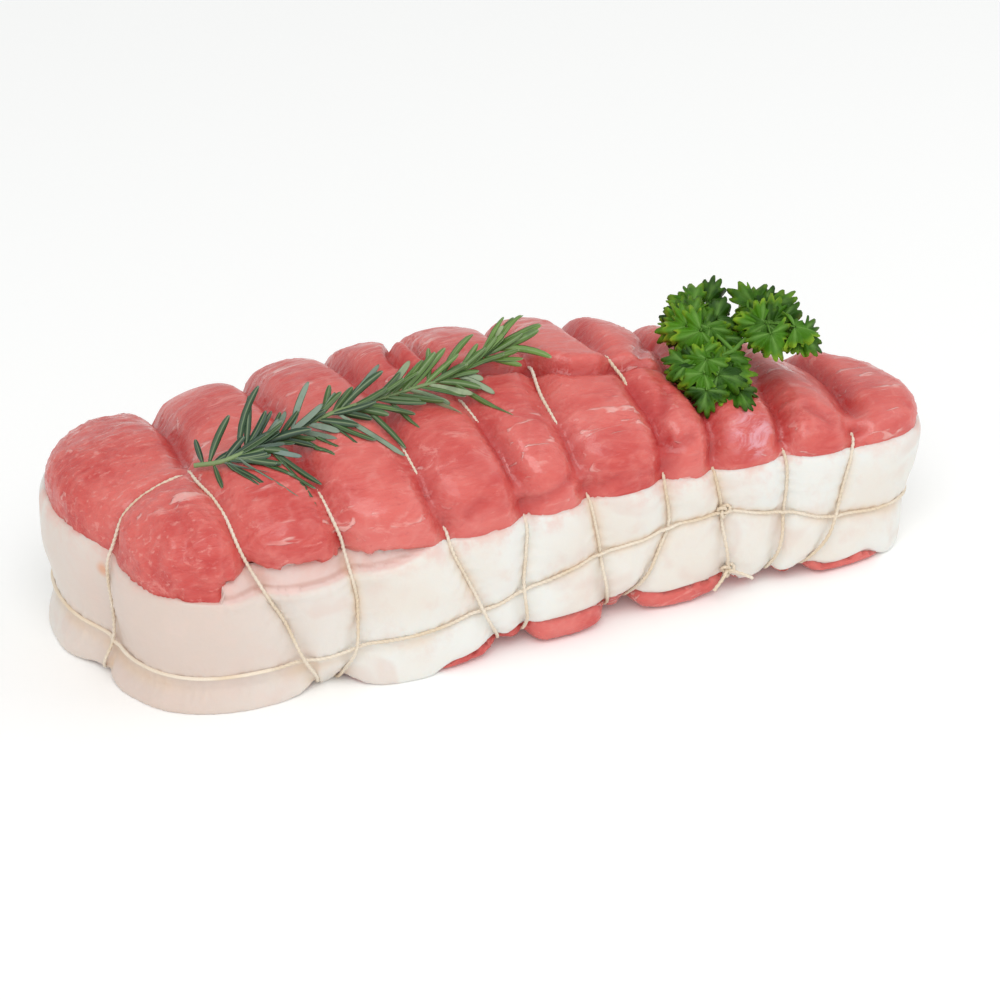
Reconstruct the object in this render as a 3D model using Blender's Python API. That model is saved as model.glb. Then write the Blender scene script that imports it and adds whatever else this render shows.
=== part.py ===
# Boned and rolled veal roast, wrapped round its sides in a sheet of fat, tied with
# cotton string, with a rosemary sprig and a parsley sprig lying on top.
# Metres, +Z up, length along X, the underside on Z = 0.
import math
import random

import bmesh
import bpy
from mathutils import Vector
from mathutils.bvhtree import BVHTree

MM = 0.001

FAT_THICKNESS = 4.0 * MM
FIT_GAP = 0.3 * MM
STRING_RADIUS = 0.75 * MM
STRING_LIFT = 1.85 * MM
FLOOR_LIFT = 2.4 * MM
LOBE_RADIUS = 13.0 * MM
STEP_DEPTH = 1.4 * MM
STEP_HEIGHT = 5.5 * MM
TIED_EDGE = 6.4 * MM
COLUMN_WIDTH = 6.8 * MM
SIDE_INSET = 0.985
CROWN_LEVELS = (2.15, 2.34, 2.56, 2.78)
CROWN_POWER = 2.4
SEED = 41

# Plan of the roast over its lobes, anticlockwise from the front left corner.
PLAN = [(-112, -51), (-88, -53), (-60, -54), (-40, -57), (-18, -56), (5, -54), (35, -52),
        (62, -50), (92, -51), (116, -50), (131, -44), (138, -30), (138, -14), (131, -1),
        (117, 12), (96, 25), (72, 36), (40, 45), (5, 51), (-32, 53), (-70, 53), (-105, 50),
        (-125, 42), (-135, 28), (-137, 10), (-134, -8), (-129, -25), (-123, -41)]

# One entry a tie, in order round the plan: where it crosses the top of the fat, the
# lengthwise string and the bottom edge, where it crosses the crown and the underside,
# the heights of crown, fat edge, lengthwise string and lower fat edge, and the depth
# of its groove at the underside, bottom edge, lengthwise string, fat edge and crown.
FRONT = "front"
BACK = "back"
LEFT = "left"
RIGHT = "right"
TIES = [
    (FRONT, -91, -85, -80, -97, -82, 67, 46.5, 12, 1.5, (4.5, 5.0, 4.5, 6.5, 6.0)),
    (FRONT, -61, -58, -61, -65, -60, 72, 45.5, 15, 1.5, (4.5, 5.5, 4.5, 6.0, 6.0)),
    (FRONT, -29, -21, -14, -35, -20, 74, 44.5, 18, 3.0, (4.5, 5.5, 4.0, 5.5, 6.0)),
    (FRONT, -6, -9, -6, -14, -8, 75, 45.5, 21, 8.5, (4.5, 6.0, 5.0, 6.0, 6.5)),
    (FRONT, 18, 22, 28, 13, 23, 75, 46.0, 27, 8.5, (4.5, 6.0, 4.5, 5.5, 6.0)),
    (FRONT, 44, 49, 43, 38, 43, 74, 46.0, 30, 6.0, (4.5, 6.0, 4.0, 5.0, 6.0)),
    (FRONT, 61, 67, 71, 60, 67, 69, 44.5, 30, 6.5, (4.5, 6.5, 5.0, 5.5, 5.5)),
    (FRONT, 85, 85, 84, 84, 84, 62, 45.0, 25, 6.5, (4.5, 6.5, 5.0, 5.5, 5.5)),
    (FRONT, 108, 108, 98, 106, 99, 57, 43.0, 20, 5.0, (4.5, 6.0, 4.0, 5.0, 5.5)),
    (RIGHT, -16, -16, -16, 106, 99, 56, 41.5, 19, 3.5, (0.5, 1.0, 1.5, 1.5, 1.5)),
    (BACK, 106, 102, 100, 106, 99, 57, 41.0, 20, 3.5, (4.5, 6.0, 4.5, 5.0, 5.5)),
    (BACK, 85, 87, 84, 84, 84, 62, 42.0, 22, 3.0, (4.5, 6.0, 4.5, 5.5, 5.5)),
    (BACK, 62, 60, 64, 60, 67, 69, 44.0, 24, 4.0, (4.5, 6.0, 4.5, 5.5, 5.5)),
    (BACK, 41, 45, 44, 38, 43, 74, 44.5, 25, 3.0, (4.5, 6.0, 4.5, 5.5, 6.0)),
    (BACK, 17, 15, 19, 13, 23, 75, 45.0, 24, 3.0, (4.5, 6.0, 4.5, 5.5, 6.0)),
    (BACK, -14, -11, -8, -14, -8, 75, 44.0, 22, 4.0, (4.5, 6.0, 4.5, 6.0, 6.5)),
    (BACK, -36, -32, -30, -35, -20, 74, 44.5, 20, 3.0, (4.5, 6.0, 4.5, 5.5, 6.0)),
    (BACK, -62, -64, -60, -65, -60, 72, 46.0, 18, 2.5, (4.5, 6.0, 4.5, 6.0, 6.0)),
    (BACK, -92, -89, -86, -97, -82, 67, 47.0, 16, 2.0, (4.5, 6.0, 4.5, 6.5, 6.0)),
    (LEFT, -19, -15, -12, -97, -82, 65, 45.0, 15, 1.5, (3.0, 5.5, 7.5, 7.5, 6.0)),
]
# How far the fat's upper edge leaves the straight line between two ties.
EDGE_SAG = {18: 2.5 * MM, 19: -5.0 * MM}
LOOPS = 9
LEFT_TIE = 19

# Edge of the muscle flap across the crown, left to right.
FLAP_EDGE = [(-26, 6), (-22, -2), (-5, -6), (11, -9), (30, -11), (42, -14), (54, -19), (66, -25)]

# Course of the rosemary stem over the crown and of the three parsley stalks.
ROSEMARY_STEM = [(-101, -17), (-92, -22), (-79, -20), (-55, -16), (-32, -14), (-10, -11), (5, -3)]
ROSEMARY_NEEDLES = 42
NEEDLE_LENGTH = 23.0 * MM
NEEDLE_WIDTH = 2.6 * MM
PARSLEY_ROOT = (77, -27)
PARSLEY_CLUSTERS = [(70, -15, 12), (88, -22, 10), (68, -36, 6)]


def clearScene():
    for obj in list(bpy.data.objects):
        bpy.data.objects.remove(obj, do_unlink=True)


def makeMaterial(name, colour, roughness):
    mat = bpy.data.materials.new(name)
    mat.use_nodes = True
    shader = mat.node_tree.nodes["Principled BSDF"]
    shader.inputs["Base Color"].default_value = (*colour, 1.0)
    shader.inputs["Roughness"].default_value = roughness
    return mat


def mix(a, b, w):
    return a + (b - a) * w


def clamp(value, low=0.0, high=1.0):
    return max(low, min(high, value))


def smooth(value):
    value = clamp(value)
    return value * value * (3.0 - 2.0 * value)


def spline(points, closed, steps):
    count = len(points)
    spans = count if closed else count - 1
    result = []
    for i in range(spans):
        if closed:
            p = [Vector(points[(i + k - 1) % count]) for k in range(4)]
        else:
            p = [Vector(points[clamp(i + k - 1, 0, count - 1)]) for k in range(4)]
        for s in range(steps):
            u = s / steps
            result.append(0.5 * (2 * p[1] + (p[2] - p[0]) * u
                                 + (2 * p[0] - 5 * p[1] + 4 * p[2] - p[3]) * u * u
                                 + (3 * p[1] - p[0] - 3 * p[2] + p[3]) * u ** 3))
    if not closed:
        result.append(Vector(points[-1]))
    return result


class Plan:
    # The plan line and places on it by distance.
    def __init__(self, points):
        self.line = spline([(x * MM, y * MM) for x, y in points], True, 24)
        self.at = [0.0]
        for i, p in enumerate(self.line):
            self.at.append(self.at[-1] + (self.line[(i + 1) % len(self.line)] - p).length)
        self.length = self.at[-1]

    def point(self, u):
        u = u % self.length
        low, high = 0, len(self.line)
        while high - low > 1:
            mid = (low + high) // 2
            if self.at[mid] <= u:
                low = mid
            else:
                high = mid
        span = self.at[low + 1] - self.at[low]
        a = self.line[low]
        b = self.line[(low + 1) % len(self.line)]
        return a.lerp(b, (u - self.at[low]) / span)

    def find(self, side, value):
        best = None
        for i, p in enumerate(self.line):
            if side == FRONT and p.y > -0.020:
                continue
            if side == BACK and p.y < 0.008:
                continue
            if side == LEFT and p.x > -0.110:
                continue
            if side == RIGHT and p.x < 0.110:
                continue
            place = p.x if side in (FRONT, BACK) else p.y
            if best is None or abs(place - value) < best[0]:
                best = (abs(place - value), self.at[i])
        return best[1]


class Roast:
    # The outer shape: c counts ties round the plan, v runs from the middle of the
    # underside (0) over the bottom edge (1) and the top of the fat (2) to the crown (3).
    def __init__(self):
        self.plan = Plan(PLAN)
        self.count = len(TIES)
        self.ties = []
        last = -1.0
        for side, edge, mid, low, crown, under, high, top, belt, fatLow, depth in TIES:
            u = [self.plan.find(side, value * MM) for value in (low, mid, edge)]
            if last > 0 and max(u) < last - 0.2:
                u = [value + self.plan.length for value in u]
            last = max(u)
            self.ties.append({
                "u": u, "crown": self.spine(crown, -13.0), "under": self.spine(under, 0.0),
                "high": high * MM, "top": top * MM, "belt": belt * MM,
                "fatLow": fatLow * MM, "depth": [d * MM for d in depth]})
        self.beltDig = [0.9 * MM] * self.count
        self.beltDig[LEFT_TIE] = 3.6 * MM
        self.beltDig[0] = 1.6 * MM
        self.beltDig[LEFT_TIE - 1] = 1.8 * MM

    def spine(self, x, leftY):
        x = x * MM
        y = mix(0.0, -0.014, smooth((x - 0.03) / 0.08))
        y += mix(leftY * MM, 0.0, smooth((x + 0.097) / 0.06))
        return Vector((x, y, 0.0))

    def around(self, c):
        k = int(math.floor(c)) % self.count
        w = c - math.floor(c)
        n = (k + 1) % self.count
        return k, n, w

    def value(self, c, key):
        k, n, w = self.around(c)
        value = mix(self.ties[k][key], self.ties[n][key], w)
        if key == "top":
            value += EDGE_SAG.get(k, 0.0) * math.sin(math.pi * w)
        return value

    def outline(self, c, z):
        k, n, w = self.around(c)
        place = []
        for j in (k, n):
            tie = self.ties[j]
            low, mid, edge = tie["u"]
            belt, top = tie["belt"], tie["top"]
            if z < belt:
                u = mix(low, mid, smooth((z - 0.003) / (belt - 0.003)))
            else:
                u = mix(mid, edge, smooth((z - belt) / (top - belt)))
            place.append(u)
        if place[1] < place[0]:
            place[1] += self.plan.length
        return self.plan.point(mix(place[0], place[1], w))

    def base(self, c, v):
        k, n, w = self.around(c)
        top = self.value(c, "top")
        under = self.ties[k]["under"].lerp(self.ties[n]["under"], w)
        crown = self.ties[k]["crown"].lerp(self.ties[n]["crown"], w)
        if v <= 1.0:
            edge = self.outline(c, 0.0)
            rho = 0.97 * v
            p = under.lerp(Vector((edge.x, edge.y, 0.0)), rho)
            return Vector((p.x, p.y, 0.0))
        if v <= 2.0:
            z = top * (v - 1.0)
            edge = self.outline(c, z)
            middle = under.lerp(crown, v - 1.0)
            rho = 1.0 - 0.03 * clamp((0.011 - z) / 0.011) ** 2
            rho -= (1.0 - SIDE_INSET) * clamp((z - 0.028) / (top - 0.028)) ** 2
            p = middle.lerp(Vector((edge.x, edge.y, 0.0)), rho)
            return Vector((p.x, p.y, z))
        edge = self.outline(c, top)
        turn = (v - 2.0) * math.pi / 2.0
        power = 2.0 / CROWN_POWER
        rho = SIDE_INSET * max(0.0, math.cos(turn)) ** power
        rise = max(0.0, math.sin(turn)) ** power
        high = self.value(c, "high")
        p = crown.lerp(Vector((edge.x, edge.y, 0.0)), rho)
        return Vector((p.x, p.y, mix(top, high, rise)))

    def normal(self, c, v):
        if v > 2.97:
            return Vector((0.0, 0.0, 1.0))
        dc, dv = 0.04, 0.02
        place = max(1.06, v)
        a = self.base(c + dc, place) - self.base(c - dc, place)
        if v <= 2.0:
            return Vector((a.y, -a.x, 0.0)).normalized()
        b = self.base(c, min(3.0, v + dv)) - self.base(c, v - dv)
        n = a.cross(b)
        if n.length < 1e-12:
            return Vector((0.0, 0.0, 1.0))
        return n.normalized()

    def width(self, k, v):
        return (self.base(k + 0.9999, v) - self.base(k, v)).length

    def lobe(self, c, v):
        k, n, w = self.around(c)
        width = self.width(k, v)
        reach = min(LOBE_RADIUS, width / 2.0)
        near = min(w, 1.0 - w) * width
        rise = math.sqrt(max(0.0, 1.0 - (1.0 - clamp(near / max(reach * 0.8, 1e-6))) ** 2))
        if v <= 1.0:
            rise = min(1.0, rise * 1.35)
        full = mix(26 * MM, 17 * MM, smooth((v - 1.05) / 0.4))
        return rise * clamp(width / full)

    def groove(self, c, v):
        k, n, w = self.around(c)
        belt = self.value(c, "belt") / self.value(c, "top")
        knots = [0.0, 1.0, 1.0 + belt, 2.0, 3.0]
        deep = []
        for j in (k, n):
            depth = self.ties[j]["depth"]
            for i in range(4):
                if v <= knots[i + 1] or i == 3:
                    t = (v - knots[i]) / (knots[i + 1] - knots[i])
                    deep.append(mix(depth[i], depth[i + 1], clamp(t)))
                    break
        return mix(deep[0], deep[1], smooth(w))

    def flap(self, p):
        edge = FLAP_EDGE
        x = p.x / MM
        y = p.y / MM
        if x < edge[0][0] - 12 or x > edge[-1][0] + 10:
            return 0.0
        line = None
        for (x0, y0), (x1, y1) in zip(edge[1:], edge[2:]):
            if x0 <= x <= x1:
                line = mix(y0, y1, (x - x0) / (x1 - x0))
        if line is None:
            line = edge[1][1] if x < edge[1][0] else edge[-1][1]
        ends = smooth((x - edge[0][0] + 6) / 8) * smooth((edge[-1][0] + 8 - x) / 14)
        off = y - line
        if off < 0:
            return ends * 3.2 * MM * smooth(1.0 + off / 15.0)
        return -ends * 2.4 * MM * smooth(off / 4.0) * smooth((34.0 - off) / 26.0)

    def depth(self, c, v):
        lobe = self.lobe(c, v)
        top = self.value(c, "top")
        extra = 0.0
        if 1.0 < v < 2.0:
            off = (top * (v - 1.0) - self.value(c, "belt")) / (4.5 * MM)
            near = math.exp(-off * off)
            lobe *= 1.0 - 0.42 * near
            k, n, w = self.around(c)
            extra = mix(self.beltDig[k], self.beltDig[n], w) * near
        if v > 2.3:
            extra += self.flap(self.base(c, v)) * smooth((v - 2.3) / 0.25)
        return self.groove(c, v) * (1.0 - lobe) + extra

    def skin(self, c, v, lift=0.0):
        out = self.normal(c, v)
        if v > 1.0:
            return self.base(c, v) + out * (lift - self.depth(c, v))
        edge = self.groove(c, 1.06) * (1.0 - self.lobe(c, 1.06))
        p = self.base(c, v) - out * edge * v / 0.97
        p.z = self.depth(c, v)
        return p

    def side(self, c, z):
        return 1.0 + z / self.value(c, "top")

    def columns(self):
        # Lobes facing each other across the middle line get the same columns.
        result = []
        for k in range(self.count):
            twin = 17 - k if 10 <= k <= 17 else k
            width = self.width(twin, 1.6)
            steps = int(clamp(round(width / COLUMN_WIDTH), 4, 6))
            for i in range(steps):
                result.append(k + mix(0.5 - 0.5 * math.cos(math.pi * i / steps), i / steps, 0.5))
        return result

    def spinePoint(self, c, v):
        # The place on the middle line where column c ends.
        k, n, w = self.around(c)
        if k in (8, 9):
            return self.skin(8, v)
        if k in (18, 19):
            return self.skin(0, v)
        if 10 <= k <= 17:
            return self.skin(18 - c, v)
        return self.skin(c, v)

    def height(self, c, level):
        # Heights of the rings shared by the fat and the meat behind it.
        # The string lifts the lower edge of the fat where it crosses it.
        k, n, w = self.around(c)
        belt, top = self.value(c, "belt"), self.value(c, "top")
        low = mix(TIED_EDGE, self.value(c, "fatLow"), math.sin(math.pi * w) ** 0.6)
        low = max(low, self.depth(c, 0.97) + 1.3 * MM)
        step = top - STEP_HEIGHT
        return (low, mix(low, belt, 0.5), belt, mix(belt, step, 0.5), step, top)[level]

    def turn(self, c):
        # Height of the rounded corner between underside and side.
        return mix(self.depth(c, 0.97), self.height(c, 0) - 1.8 * FIT_GAP, 0.4)

    def overlap(self, c):
        # How far the tucked end of the sheet steps back from the outer layer.
        c = c % self.count
        start = smooth((c - (self.count - 0.08)) / 0.06)
        end = smooth((2.05 - c) / 0.4)
        return STEP_DEPTH * (start if c > 10 else end)


def meshObject(name, verts, faces, mat, collection):
    mesh = bpy.data.meshes.new(name)
    mesh.from_pydata([tuple(v) for v in verts], [], faces)
    mesh.validate()
    obj = bpy.data.objects.new(name, mesh)
    collection.objects.link(obj)
    bm = bmesh.new()
    bm.from_mesh(mesh)
    bmesh.ops.remove_doubles(bm, verts=bm.verts, dist=1e-6)
    bmesh.ops.dissolve_degenerate(bm, edges=bm.edges, dist=1e-6)
    bmesh.ops.triangulate(bm, faces=bm.faces)
    bmesh.ops.recalc_face_normals(bm, faces=bm.faces)
    bm.to_mesh(mesh)
    bm.free()
    mesh.materials.append(mat)
    return obj


def bridgeRings(rings, closedUp, flipFrom=None):
    # Rings from flipFrom on run downwards and take the other diagonal, so that two
    # surfaces lying face to face are split alike.
    count = len(rings[0])
    verts = [p for ring in rings for p in ring]
    faces = []
    spans = len(rings) if closedUp else len(rings) - 1
    for i in range(spans):
        a = i * count
        b = ((i + 1) % len(rings)) * count
        flip = flipFrom is not None and i >= flipFrom
        for j in range(count):
            n = (j + 1) % count
            if flip:
                faces += [(a + j, a + n, b + j), (a + n, b + n, b + j)]
            else:
                faces += [(a + j, a + n, b + n), (a + j, b + n, b + j)]
    return verts, faces


def makeMeat(roast, columns, mat, collection):
    rings = []
    inner = -(FAT_THICKNESS + FIT_GAP)
    rings.append([roast.spinePoint(c, 0.0) for c in columns])
    for v in (0.42, 0.78, 0.97):
        rings.append([roast.skin(c, v) for c in columns])

    def level(height, lift):
        ring = []
        for c in columns:
            z = height(c)
            p = roast.skin(c, roast.side(c, z), lift)
            ring.append(Vector((p.x, p.y, z)))
        return ring

    def underFat(c):
        return roast.height(c, 0) - 1.8 * FIT_GAP

    def overFat(c):
        return roast.value(c, "top") + FIT_GAP

    rings.append(level(roast.turn, -0.3 * MM))
    rings.append(level(underFat, 0.0))
    rings.append(level(underFat, inner))
    rings.append(level(lambda c: roast.height(c, 1), inner))
    rings.append(level(lambda c: roast.height(c, 2), inner))
    rings.append(level(lambda c: roast.height(c, 3), inner))
    rings.append(level(lambda c: roast.height(c, 4) - 2.2 * FIT_GAP, inner))
    ring = []
    for c in columns:
        z = roast.height(c, 4) - FIT_GAP
        p = roast.skin(c, roast.side(c, z), inner - roast.overlap(c))
        ring.append(Vector((p.x, p.y, z)))
    rings.append(ring)
    ring = []
    for c in columns:
        z = overFat(c)
        p = roast.skin(c, 2.0, inner - roast.overlap(c))
        ring.append(Vector((p.x, p.y, z)))
    rings.append(ring)
    ring = []
    for c in columns:
        p = roast.skin(c, 2.0)
        ring.append(Vector((p.x, p.y, overFat(c))))
    rings.append(ring)
    for v in CROWN_LEVELS:
        rings.append([roast.skin(c, v) for c in columns])
    rings.append([roast.spinePoint(c, 3.0) for c in columns])
    verts, faces = bridgeRings(rings, False)
    return meshObject("meat", verts, faces, mat, collection)


def makeFat(roast, columns, mat, collection):
    def ring(level, lift, drop=0.0):
        out = []
        for c in columns:
            z = roast.height(c, level) - drop
            p = roast.skin(c, roast.side(c, z), lift(c))
            out.append(Vector((p.x, p.y, z)))
        return out

    def outer(c):
        return 0.0

    def inner(c):
        return -FAT_THICKNESS

    rings = [
        ring(0, lambda c: -0.5 * MM), ring(1, outer), ring(2, outer), ring(3, outer),
        ring(4, outer, 0.4 * MM), ring(4, lambda c: -roast.overlap(c)),
        ring(5, lambda c: -0.2 * MM - roast.overlap(c)),
        ring(5, lambda c: -FAT_THICKNESS - roast.overlap(c)),
        ring(4, lambda c: -FAT_THICKNESS - roast.overlap(c)), ring(4, inner, 0.4 * MM),
        ring(3, inner), ring(2, inner), ring(1, inner), ring(0, inner),
    ]
    verts, faces = bridgeRings(rings, True, 7)
    return meshObject("fat_band", verts, faces, mat, collection)


def tube(name, points, radius, cyclic, collection, sides=1):
    curve = bpy.data.curves.new(name, "CURVE")
    curve.dimensions = "3D"
    curve.bevel_depth = radius
    curve.bevel_resolution = sides
    curve.use_fill_caps = True
    curve.twist_mode = "MINIMUM"
    path = curve.splines.new("POLY")
    path.points.add(len(points) - 1)
    for point, p in zip(path.points, points):
        point.co = (p.x, p.y, p.z, 1.0)
    path.use_cyclic_u = cyclic
    holder = bpy.data.objects.new(name + "_path", curve)
    collection.objects.link(holder)
    bpy.context.view_layer.update()
    graph = bpy.context.evaluated_depsgraph_get()
    mesh = bpy.data.meshes.new_from_object(holder.evaluated_get(graph))
    bpy.data.objects.remove(holder, do_unlink=True)
    bpy.data.curves.remove(curve)
    obj = bpy.data.objects.new(name, mesh)
    collection.objects.link(obj)
    bm = bmesh.new()
    bm.from_mesh(mesh)
    bmesh.ops.remove_doubles(bm, verts=bm.verts, dist=1e-6)
    bmesh.ops.recalc_face_normals(bm, faces=bm.faces)
    bm.to_mesh(mesh)
    bm.free()
    return obj


def knot(name, centre, size, collection):
    bm = bmesh.new()
    bmesh.ops.create_icosphere(bm, subdivisions=2, radius=1.0)
    for vert in bm.verts:
        vert.co = centre + Vector((vert.co.x * size[0], vert.co.y * size[1], vert.co.z * size[2]))
    mesh = bpy.data.meshes.new(name)
    bm.to_mesh(mesh)
    bm.free()
    obj = bpy.data.objects.new(name, mesh)
    collection.objects.link(obj)
    return obj


def fuse(name, pieces, mat, collection, scratch):
    # Joins overlapping closed pieces into one body.
    first = pieces[0]
    group = bpy.data.collections.new(name + "_pieces")
    bpy.context.scene.collection.children.link(group)
    for piece in pieces[1:]:
        scratch.objects.unlink(piece)
        group.objects.link(piece)
    union = first.modifiers.new("union", "BOOLEAN")
    union.operation = "UNION"
    union.operand_type = "COLLECTION"
    union.collection = group
    union.solver = "MANIFOLD"
    bpy.context.view_layer.update()
    graph = bpy.context.evaluated_depsgraph_get()
    mesh = bpy.data.meshes.new_from_object(first.evaluated_get(graph))
    for piece in list(group.objects):
        bpy.data.objects.remove(piece, do_unlink=True)
    bpy.data.collections.remove(group)
    bpy.data.objects.remove(first, do_unlink=True)
    mesh.name = name
    obj = bpy.data.objects.new(name, mesh)
    collection.objects.link(obj)
    bm = bmesh.new()
    bm.from_mesh(mesh)
    bmesh.ops.remove_doubles(bm, verts=bm.verts, dist=1e-6)
    bmesh.ops.triangulate(bm, faces=bm.faces)
    keepLargest(bm)
    bmesh.ops.recalc_face_normals(bm, faces=bm.faces)
    bm.to_mesh(mesh)
    bm.free()
    mesh.materials.clear()
    mesh.materials.append(mat)
    return obj


def keepLargest(bm):
    # Drops the loose slivers that a union can leave.
    todo = set(bm.faces)
    groups = []
    while todo:
        seed = todo.pop()
        group = [seed]
        stack = [seed]
        while stack:
            for edge in stack.pop().edges:
                if len(edge.link_faces) != 2:
                    continue
                for face in edge.link_faces:
                    if face in todo:
                        todo.remove(face)
                        group.append(face)
                        stack.append(face)
        groups.append(group)
    groups.sort(key=len, reverse=True)
    for group in groups[1:]:
        bmesh.ops.delete(bm, geom=group, context="FACES")


def makeTwine(roast, columns, mat, collection, scratch):
    pieces = []

    def column(k):
        # String points up one side of a tie, from the underside to the crown.
        tie = roast.ties[k]
        edge = roast.skin(k, 0.97)
        out = roast.normal(k, 0.97)
        turn = roast.turn(k)
        corner = roast.skin(k, 1.0 + turn / tie["top"])
        down = Vector((0.0, 0.0, -1.0))
        points = [edge + (out * 0.35 + down * 0.94) * FLOOR_LIFT,
                  corner + (out * 0.8 + down * 0.6) * STRING_LIFT * 1.1]
        for level in range(6):
            z = roast.height(k, level)
            points.append(roast.skin(k, 1.0 + z / tie["top"], STRING_LIFT))
        for v in CROWN_LEVELS:
            lift = STRING_LIFT
            if k == 0:
                lift += 2.4 * MM * smooth((v - 2.1) / 0.3)
            points.append(roast.skin(k, v, lift))
        return points

    def below(k, lift=FLOOR_LIFT):
        return roast.skin(k, 0.0) - Vector((0.0, 0.0, lift))

    for loop in range(LOOPS):
        back = 18 - loop
        front = column(loop)
        rear = column(back)
        top = roast.skin(loop, 3.0, STRING_LIFT)
        points = front + [top] + list(reversed(rear)) + [below(loop)]
        pieces.append(tube("loop", points, STRING_RADIUS, True, scratch))

    belt = []
    for c in columns:
        v = roast.side(c, roast.value(c, "belt"))
        belt.append(roast.skin(c, v, STRING_LIFT + 0.33 * MM))
    pieces.append(tube("belt", belt, STRING_RADIUS, True, scratch))

    nudge = Vector((0.4, 0.0, 0.0)) * MM
    above = roast.skin(0, 3.0, STRING_LIFT + 2.15 * MM)
    end = [below(0, FLOOR_LIFT + 0.21 * MM) + nudge] + column(LEFT_TIE) + [above + nudge]
    pieces.append(tube("end", end, STRING_RADIUS, False, scratch))

    tie = roast.ties[6]
    for z, ends in ((tie["belt"], []), (10 * MM, [(-7, -5, -3.2), (6, -5.5, -2.2)])):
        v = 1.0 + z / tie["top"]
        out = roast.normal(6, v)
        centre = roast.skin(6, v, STRING_LIFT) + out * 2.6 * MM
        size = (2.1 * MM, 2.6 * MM, 2.1 * MM)
        pieces.append(knot("knot", centre, size, scratch))
        for dx, dy, dz in ends:
            tail = [centre, centre + Vector((dx * 0.5, dy * 0.8, dz * 0.3)) * MM,
                    centre + Vector((dx, dy, dz)) * MM]
            pieces.append(tube("tail", tail, STRING_RADIUS, False, scratch))
    return fuse("twine", pieces, mat, collection, scratch)


class Ground:
    # Height of the upper side at a place in plan.
    def __init__(self, objects):
        verts = []
        faces = []
        for obj in objects:
            start = len(verts)
            verts += [v.co.copy() for v in obj.data.vertices]
            faces += [[start + i for i in p.vertices] for p in obj.data.polygons]
        self.tree = BVHTree.FromPolygons(verts, faces)

    def height(self, x, y):
        hit = self.tree.ray_cast(Vector((x, y, 0.2)), Vector((0, 0, -1)))
        return hit[0].z if hit[0] else 0.0

    def above(self, x, y, reach):
        best = self.height(x, y)
        for i in range(6):
            turn = i * math.pi / 3
            best = max(best, self.height(x + reach * math.cos(turn), y + reach * math.sin(turn)))
        return best


def makeRosemary(ground, mat, collection, scratch):
    rng = random.Random(SEED)
    plan = spline([(x * MM, y * MM, 0.0) for x, y in ROSEMARY_STEM], False, 3)
    stem = []
    for i, p in enumerate(plan):
        t = i / (len(plan) - 1)
        z = ground.above(p.x, p.y, 2.5 * MM) + mix(1.5, 3.4, smooth(t * 1.6)) * MM
        stem.append([p.x, p.y, z])
    for _ in range(2):
        heights = [p[2] for p in stem]
        for i in range(1, len(stem) - 1):
            stem[i][2] = max(heights[i] - 0.2 * MM, (heights[i - 1] + heights[i] + heights[i + 1]) / 3)
    stem[0][2] = stem[1][2] - 0.6 * MM
    stem = [Vector(p) for p in stem]
    pieces = [tube("stem", stem, 1.1 * MM, False, scratch)]
    for n in range(ROSEMARY_NEEDLES):
        t = 0.14 + 0.86 * (n + 0.5) / ROSEMARY_NEEDLES
        place = t * (len(stem) - 1)
        i = min(int(place), len(stem) - 2)
        root = stem[i].lerp(stem[i + 1], place - i)
        along = (stem[i + 1] - stem[i]).normalized()
        side = along.cross(Vector((0, 0, 1))).normalized()
        rise = side.cross(along)
        spin = n * 2.399 + rng.uniform(-0.4, 0.4)
        out = side * math.cos(spin) + rise * (0.10 + 0.50 * abs(math.sin(spin)))
        lean = mix(0.5, 1.7, t ** 2) + rng.uniform(-0.15, 0.25)
        aim = (out + along * lean).normalized()
        length = NEEDLE_LENGTH * rng.uniform(0.75, 1.05) * mix(1.0, 0.72, smooth((t - 0.75) * 4))
        pieces.append(needle(root, aim, length, ground, scratch, rng))
    return fuse("rosemary_sprig", pieces, mat, collection, scratch)


def needle(root, aim, length, ground, scratch, rng):
    side = aim.cross(Vector((0, 0, 1))).normalized()
    up = side.cross(aim).normalized()
    droop = rng.uniform(0.0, 0.16)
    verts = [root - aim * 0.3 * MM]
    for s, width in ((0.22, 0.75), (0.7, 0.9)):
        p = root + aim * length * s - Vector((0, 0, droop * length * s * s))
        floor = ground.above(p.x, p.y, 1.6 * MM) + 1.1 * MM
        p.z = max(p.z, floor)
        w = NEEDLE_WIDTH * width / 2
        verts += [p + side * w, p + up * w * 0.4, p - side * w, p - up * w * 0.4]
    tip = root + aim * length - Vector((0, 0, droop * length))
    tip.z = max(tip.z, ground.above(tip.x, tip.y, 1.0 * MM) + 0.8 * MM)
    verts.append(tip)
    faces = []
    for i in range(4):
        n = (i + 1) % 4
        faces += [(0, 1 + n, 1 + i), (1 + i, 1 + n, 5 + n, 5 + i), (9, 5 + i, 5 + n)]
    mesh = bpy.data.meshes.new("needle")
    mesh.from_pydata([tuple(v) for v in verts], [], faces)
    obj = bpy.data.objects.new("needle", mesh)
    scratch.objects.link(obj)
    bm = bmesh.new()
    bm.from_mesh(mesh)
    bmesh.ops.recalc_face_normals(bm, faces=bm.faces)
    bm.to_mesh(mesh)
    bm.free()
    return obj


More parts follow.
